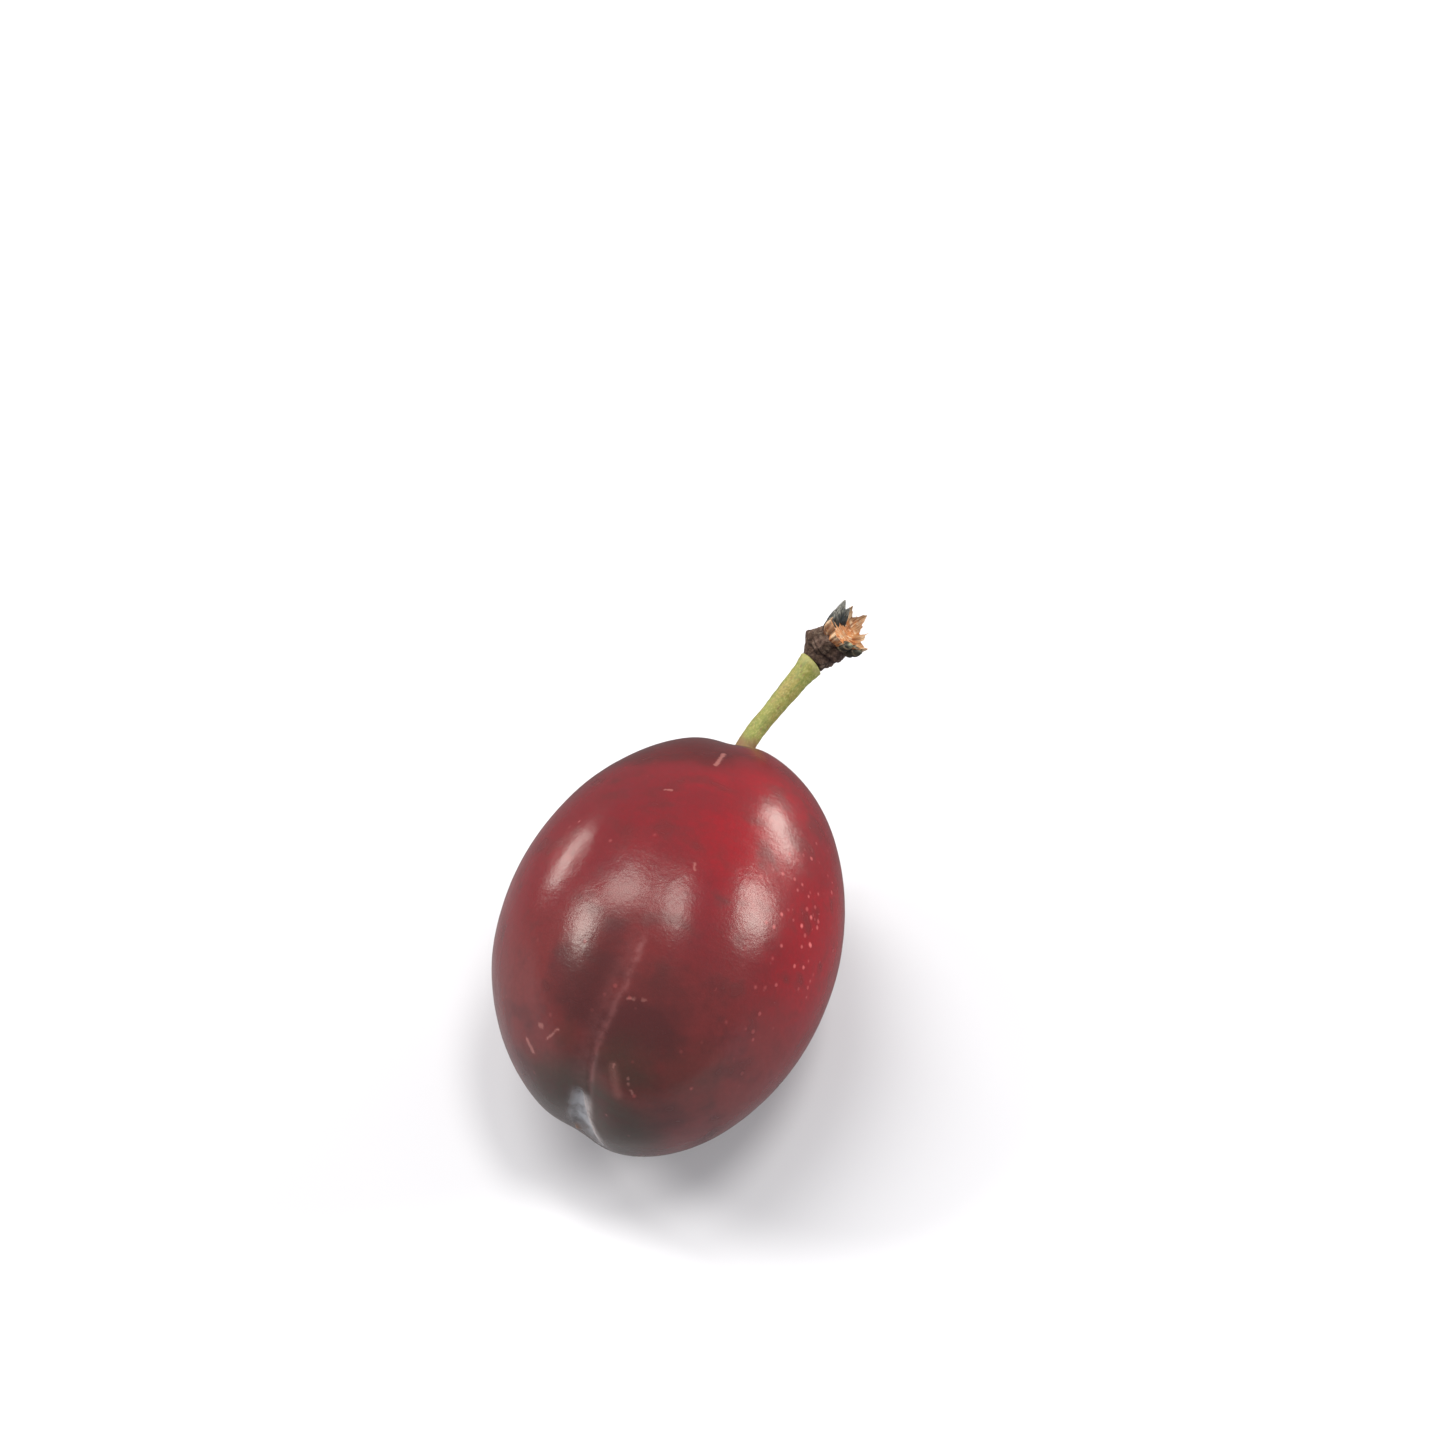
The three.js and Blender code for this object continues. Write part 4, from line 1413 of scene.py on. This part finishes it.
@dataclass(frozen=True)
class Softbox:
    """A soft strip light: its ends as (azimuth, elevation), its width in degrees and its brightness."""

    name: str
    start: Pair
    end: Pair
    wide: float
    brightness: float

    def build(self, middle: Array, distance: float, warmth: Triple) -> Object:
        """The light, facing the fruit, with the power that gives its brightness.

        An area light's power is pi times its area times its radiance.

        Args:
            middle: the fruit's middle, in metres.
            distance: how far off it stands, in metres.
            warmth: the light's colour.

        Returns:
            The light's object.
        """
        start, end = compass(*self.start), compass(*self.end)
        away, along = unit(start + end), unit(end - start)
        lamp = bpy.data.lights.new(self.name, "AREA")
        lamp.shape = "ELLIPSE"
        lamp.size = 2.0 * distance * math.tan(math.acos(float(start @ end)) / 2.0)
        lamp.size_y = 2.0 * distance * math.tan(math.radians(self.wide) / 2.0)
        lamp.color = warmth
        lamp.energy = math.pi * (math.pi / 4.0 * lamp.size * lamp.size_y) * self.brightness
        holder = placed(self.name, lamp)
        holder.location = middle + distance * away
        holder.rotation_euler = Matrix((along, np.cross(away, along), away)).transposed().to_euler()
        holder.visible_camera = False
        return holder


@dataclass(frozen=True)
class Studio:
    """The floor, the soft light and the camera. Distances are in millimetres, the stage's in metres."""

    camera_azimuth: float = 18.15
    camera_elevation: float = 60.0
    camera_distance: float = 600.0
    frame_width: float = 1440.0
    fruit_in_frame: Pair = (674.57, 943.05)
    pixels_per_mm: float = 7.865
    sensor: float = 36.0
    aim: Triple = (1.5, 0.1, 20.3)
    floor_size: float = 8.0
    paper: Tint = tint(200, 203, 212)
    # painted reflection: a dark tint that the floor shows only in other surfaces' gloss
    painted_reflection_tint: Tint = tint(20, 16, 16)
    painted_reflection_reach: Pair = (-90.0, 60.0)
    painted_reflection_strength: float = 0.85
    light_distance: float = 20.0
    surroundings: Tint = (0.3, 0.303, 0.315, 1.0)
    backdrop: Tint = (1.0, 1.0, 1.0, 1.0)
    warmth: Triple = (1.0, 0.95, 0.86)
    softboxes: tuple[Softbox, ...] = (
        Softbox("left_window", (-79.0, 31.0), (-97.5, 45.0), 15.0, 26.0),
        Softbox("ceiling_left", (-106.0, 45.0), (-158.0, 77.0), 15.0, 15.5),
        Softbox("ceiling_window", (176.0, 74.0), (94.0, 73.0), 13.0, 22.0),
        Softbox("back_left_window", (-108.0, 0.0), (-124.0, 13.0), 13.0, 15.0),
        Softbox("right_window", (107.5, 18.0), (125.5, 31.5), 17.0, 27.0),
        Softbox("back_right_window", (134.0, 5.0), (157.0, 7.0), 18.0, 20.0),
    )

    def camera(self) -> Object:
        """The camera, aimed past the fruit so that the fruit stands where it should in the frame.

        The lens makes a millimetre at the fruit's middle as many pixels wide as it should be.

        Returns:
            The camera's object.
        """
        middle = np.array(self.aim)
        away = compass(self.camera_azimuth, self.camera_elevation)
        right = unit(np.cross(UP, away))
        place = middle + self.camera_distance * away
        off = (self.frame_width / 2.0 - np.array(self.fruit_in_frame)) / self.pixels_per_mm
        looking = unit(middle + right * off[0] - np.cross(away, right) * off[1] - place)
        lens = bpy.data.cameras.new("camera")
        lens.sensor_width = self.sensor
        lens.lens = self.pixels_per_mm * float((middle - place) @ looking) * self.sensor / self.frame_width
        lens.clip_start = 0.01
        camera = placed("camera", lens)
        camera.location = place * MM
        camera.rotation_euler = Vector(looking).to_track_quat("-Z", "Y").to_euler()
        bpy.context.scene.camera = camera
        return camera

    def floor(self) -> Object:
        """The plain pale floor, a square about the origin.

        Seen in another surface's gloss, its paper is painted darker with a smooth run along Y, a painted
        reflection, so that the fruit's edges don't mirror a white floor.

        Returns:
            Nothing, as marking the floor returns nothing; the floor stands on the stage.
        """
        half = self.floor_size / 2.0
        square = [(-half, -half, 0), (half, -half, 0), (half, half, 0), (-half, half, 0)]
        mesh = bpy.data.meshes.new("floor")
        mesh.from_pydata(square, [], [(0, 1, 2, 3)])
        paper = Finish(bpy.data.materials.new("floor_paper"))
        backwards = paper.vector(Sum.DOT, {0: paper.place(), 1: ALONG})
        # painted reflection: the paper darkens only for glossy rays, more towards +Y behind the fruit
        painted_reflection = paper.span(backwards, *self.painted_reflection_reach, 0.0, self.painted_reflection_strength)
        painted_reflection = paper.sum(Sum.TIMES, paper.ray(Ray.GLOSSY), painted_reflection)
        colour = paper.layers(self.paper, (painted_reflection, self.painted_reflection_tint))
        paper.set(Base_Color=colour, Roughness=0.9, Specular_IOR_Level=0.1)
        mesh.materials.append(paper.owner)
        floor = placed("floor", mesh)
        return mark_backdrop(floor)

    def world(self) -> bpy.types.World:
        """A dim room as a source of light, and a plain white backdrop where it is looked at.

        Returns:
            The world.
        """
        world = Finish(bpy.data.worlds.new("surroundings"))
        world.set(Color=world.layers(self.surroundings, (world.ray(Ray.CAMERA), self.backdrop)))
        return world.owner

    def build(self) -> None:
        """The camera, the floor, the softboxes and the surroundings."""
        self.camera()
        self.floor()
        for softbox in self.softboxes:
            softbox.build(np.array(self.aim) * MM, self.light_distance, self.warmth)
        bpy.context.scene.world = self.world()
        bpy.context.scene.view_settings.view_transform = "Standard"


# The whole


def plain(box: object) -> object:
    """A box as plain lists of numbers."""
    return [plain(part) for part in box] if hasattr(box, "__len__") else float(box)


def main() -> None:
    """Builds the studio and the plum's pieces in order."""
    logging.basicConfig(level=logging.INFO, format="%(name)s %(message)s")
    fruit = Fruit()
    Studio().build()
    fruit.build()
    stalk = Stalk()
    stalk.build(fruit.form)
    Spur().build(stalk, fruit.form)
    {"cad": plain(CAD_BOX), "visual": plain(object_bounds())}


if __name__ == "__main__":
    main()
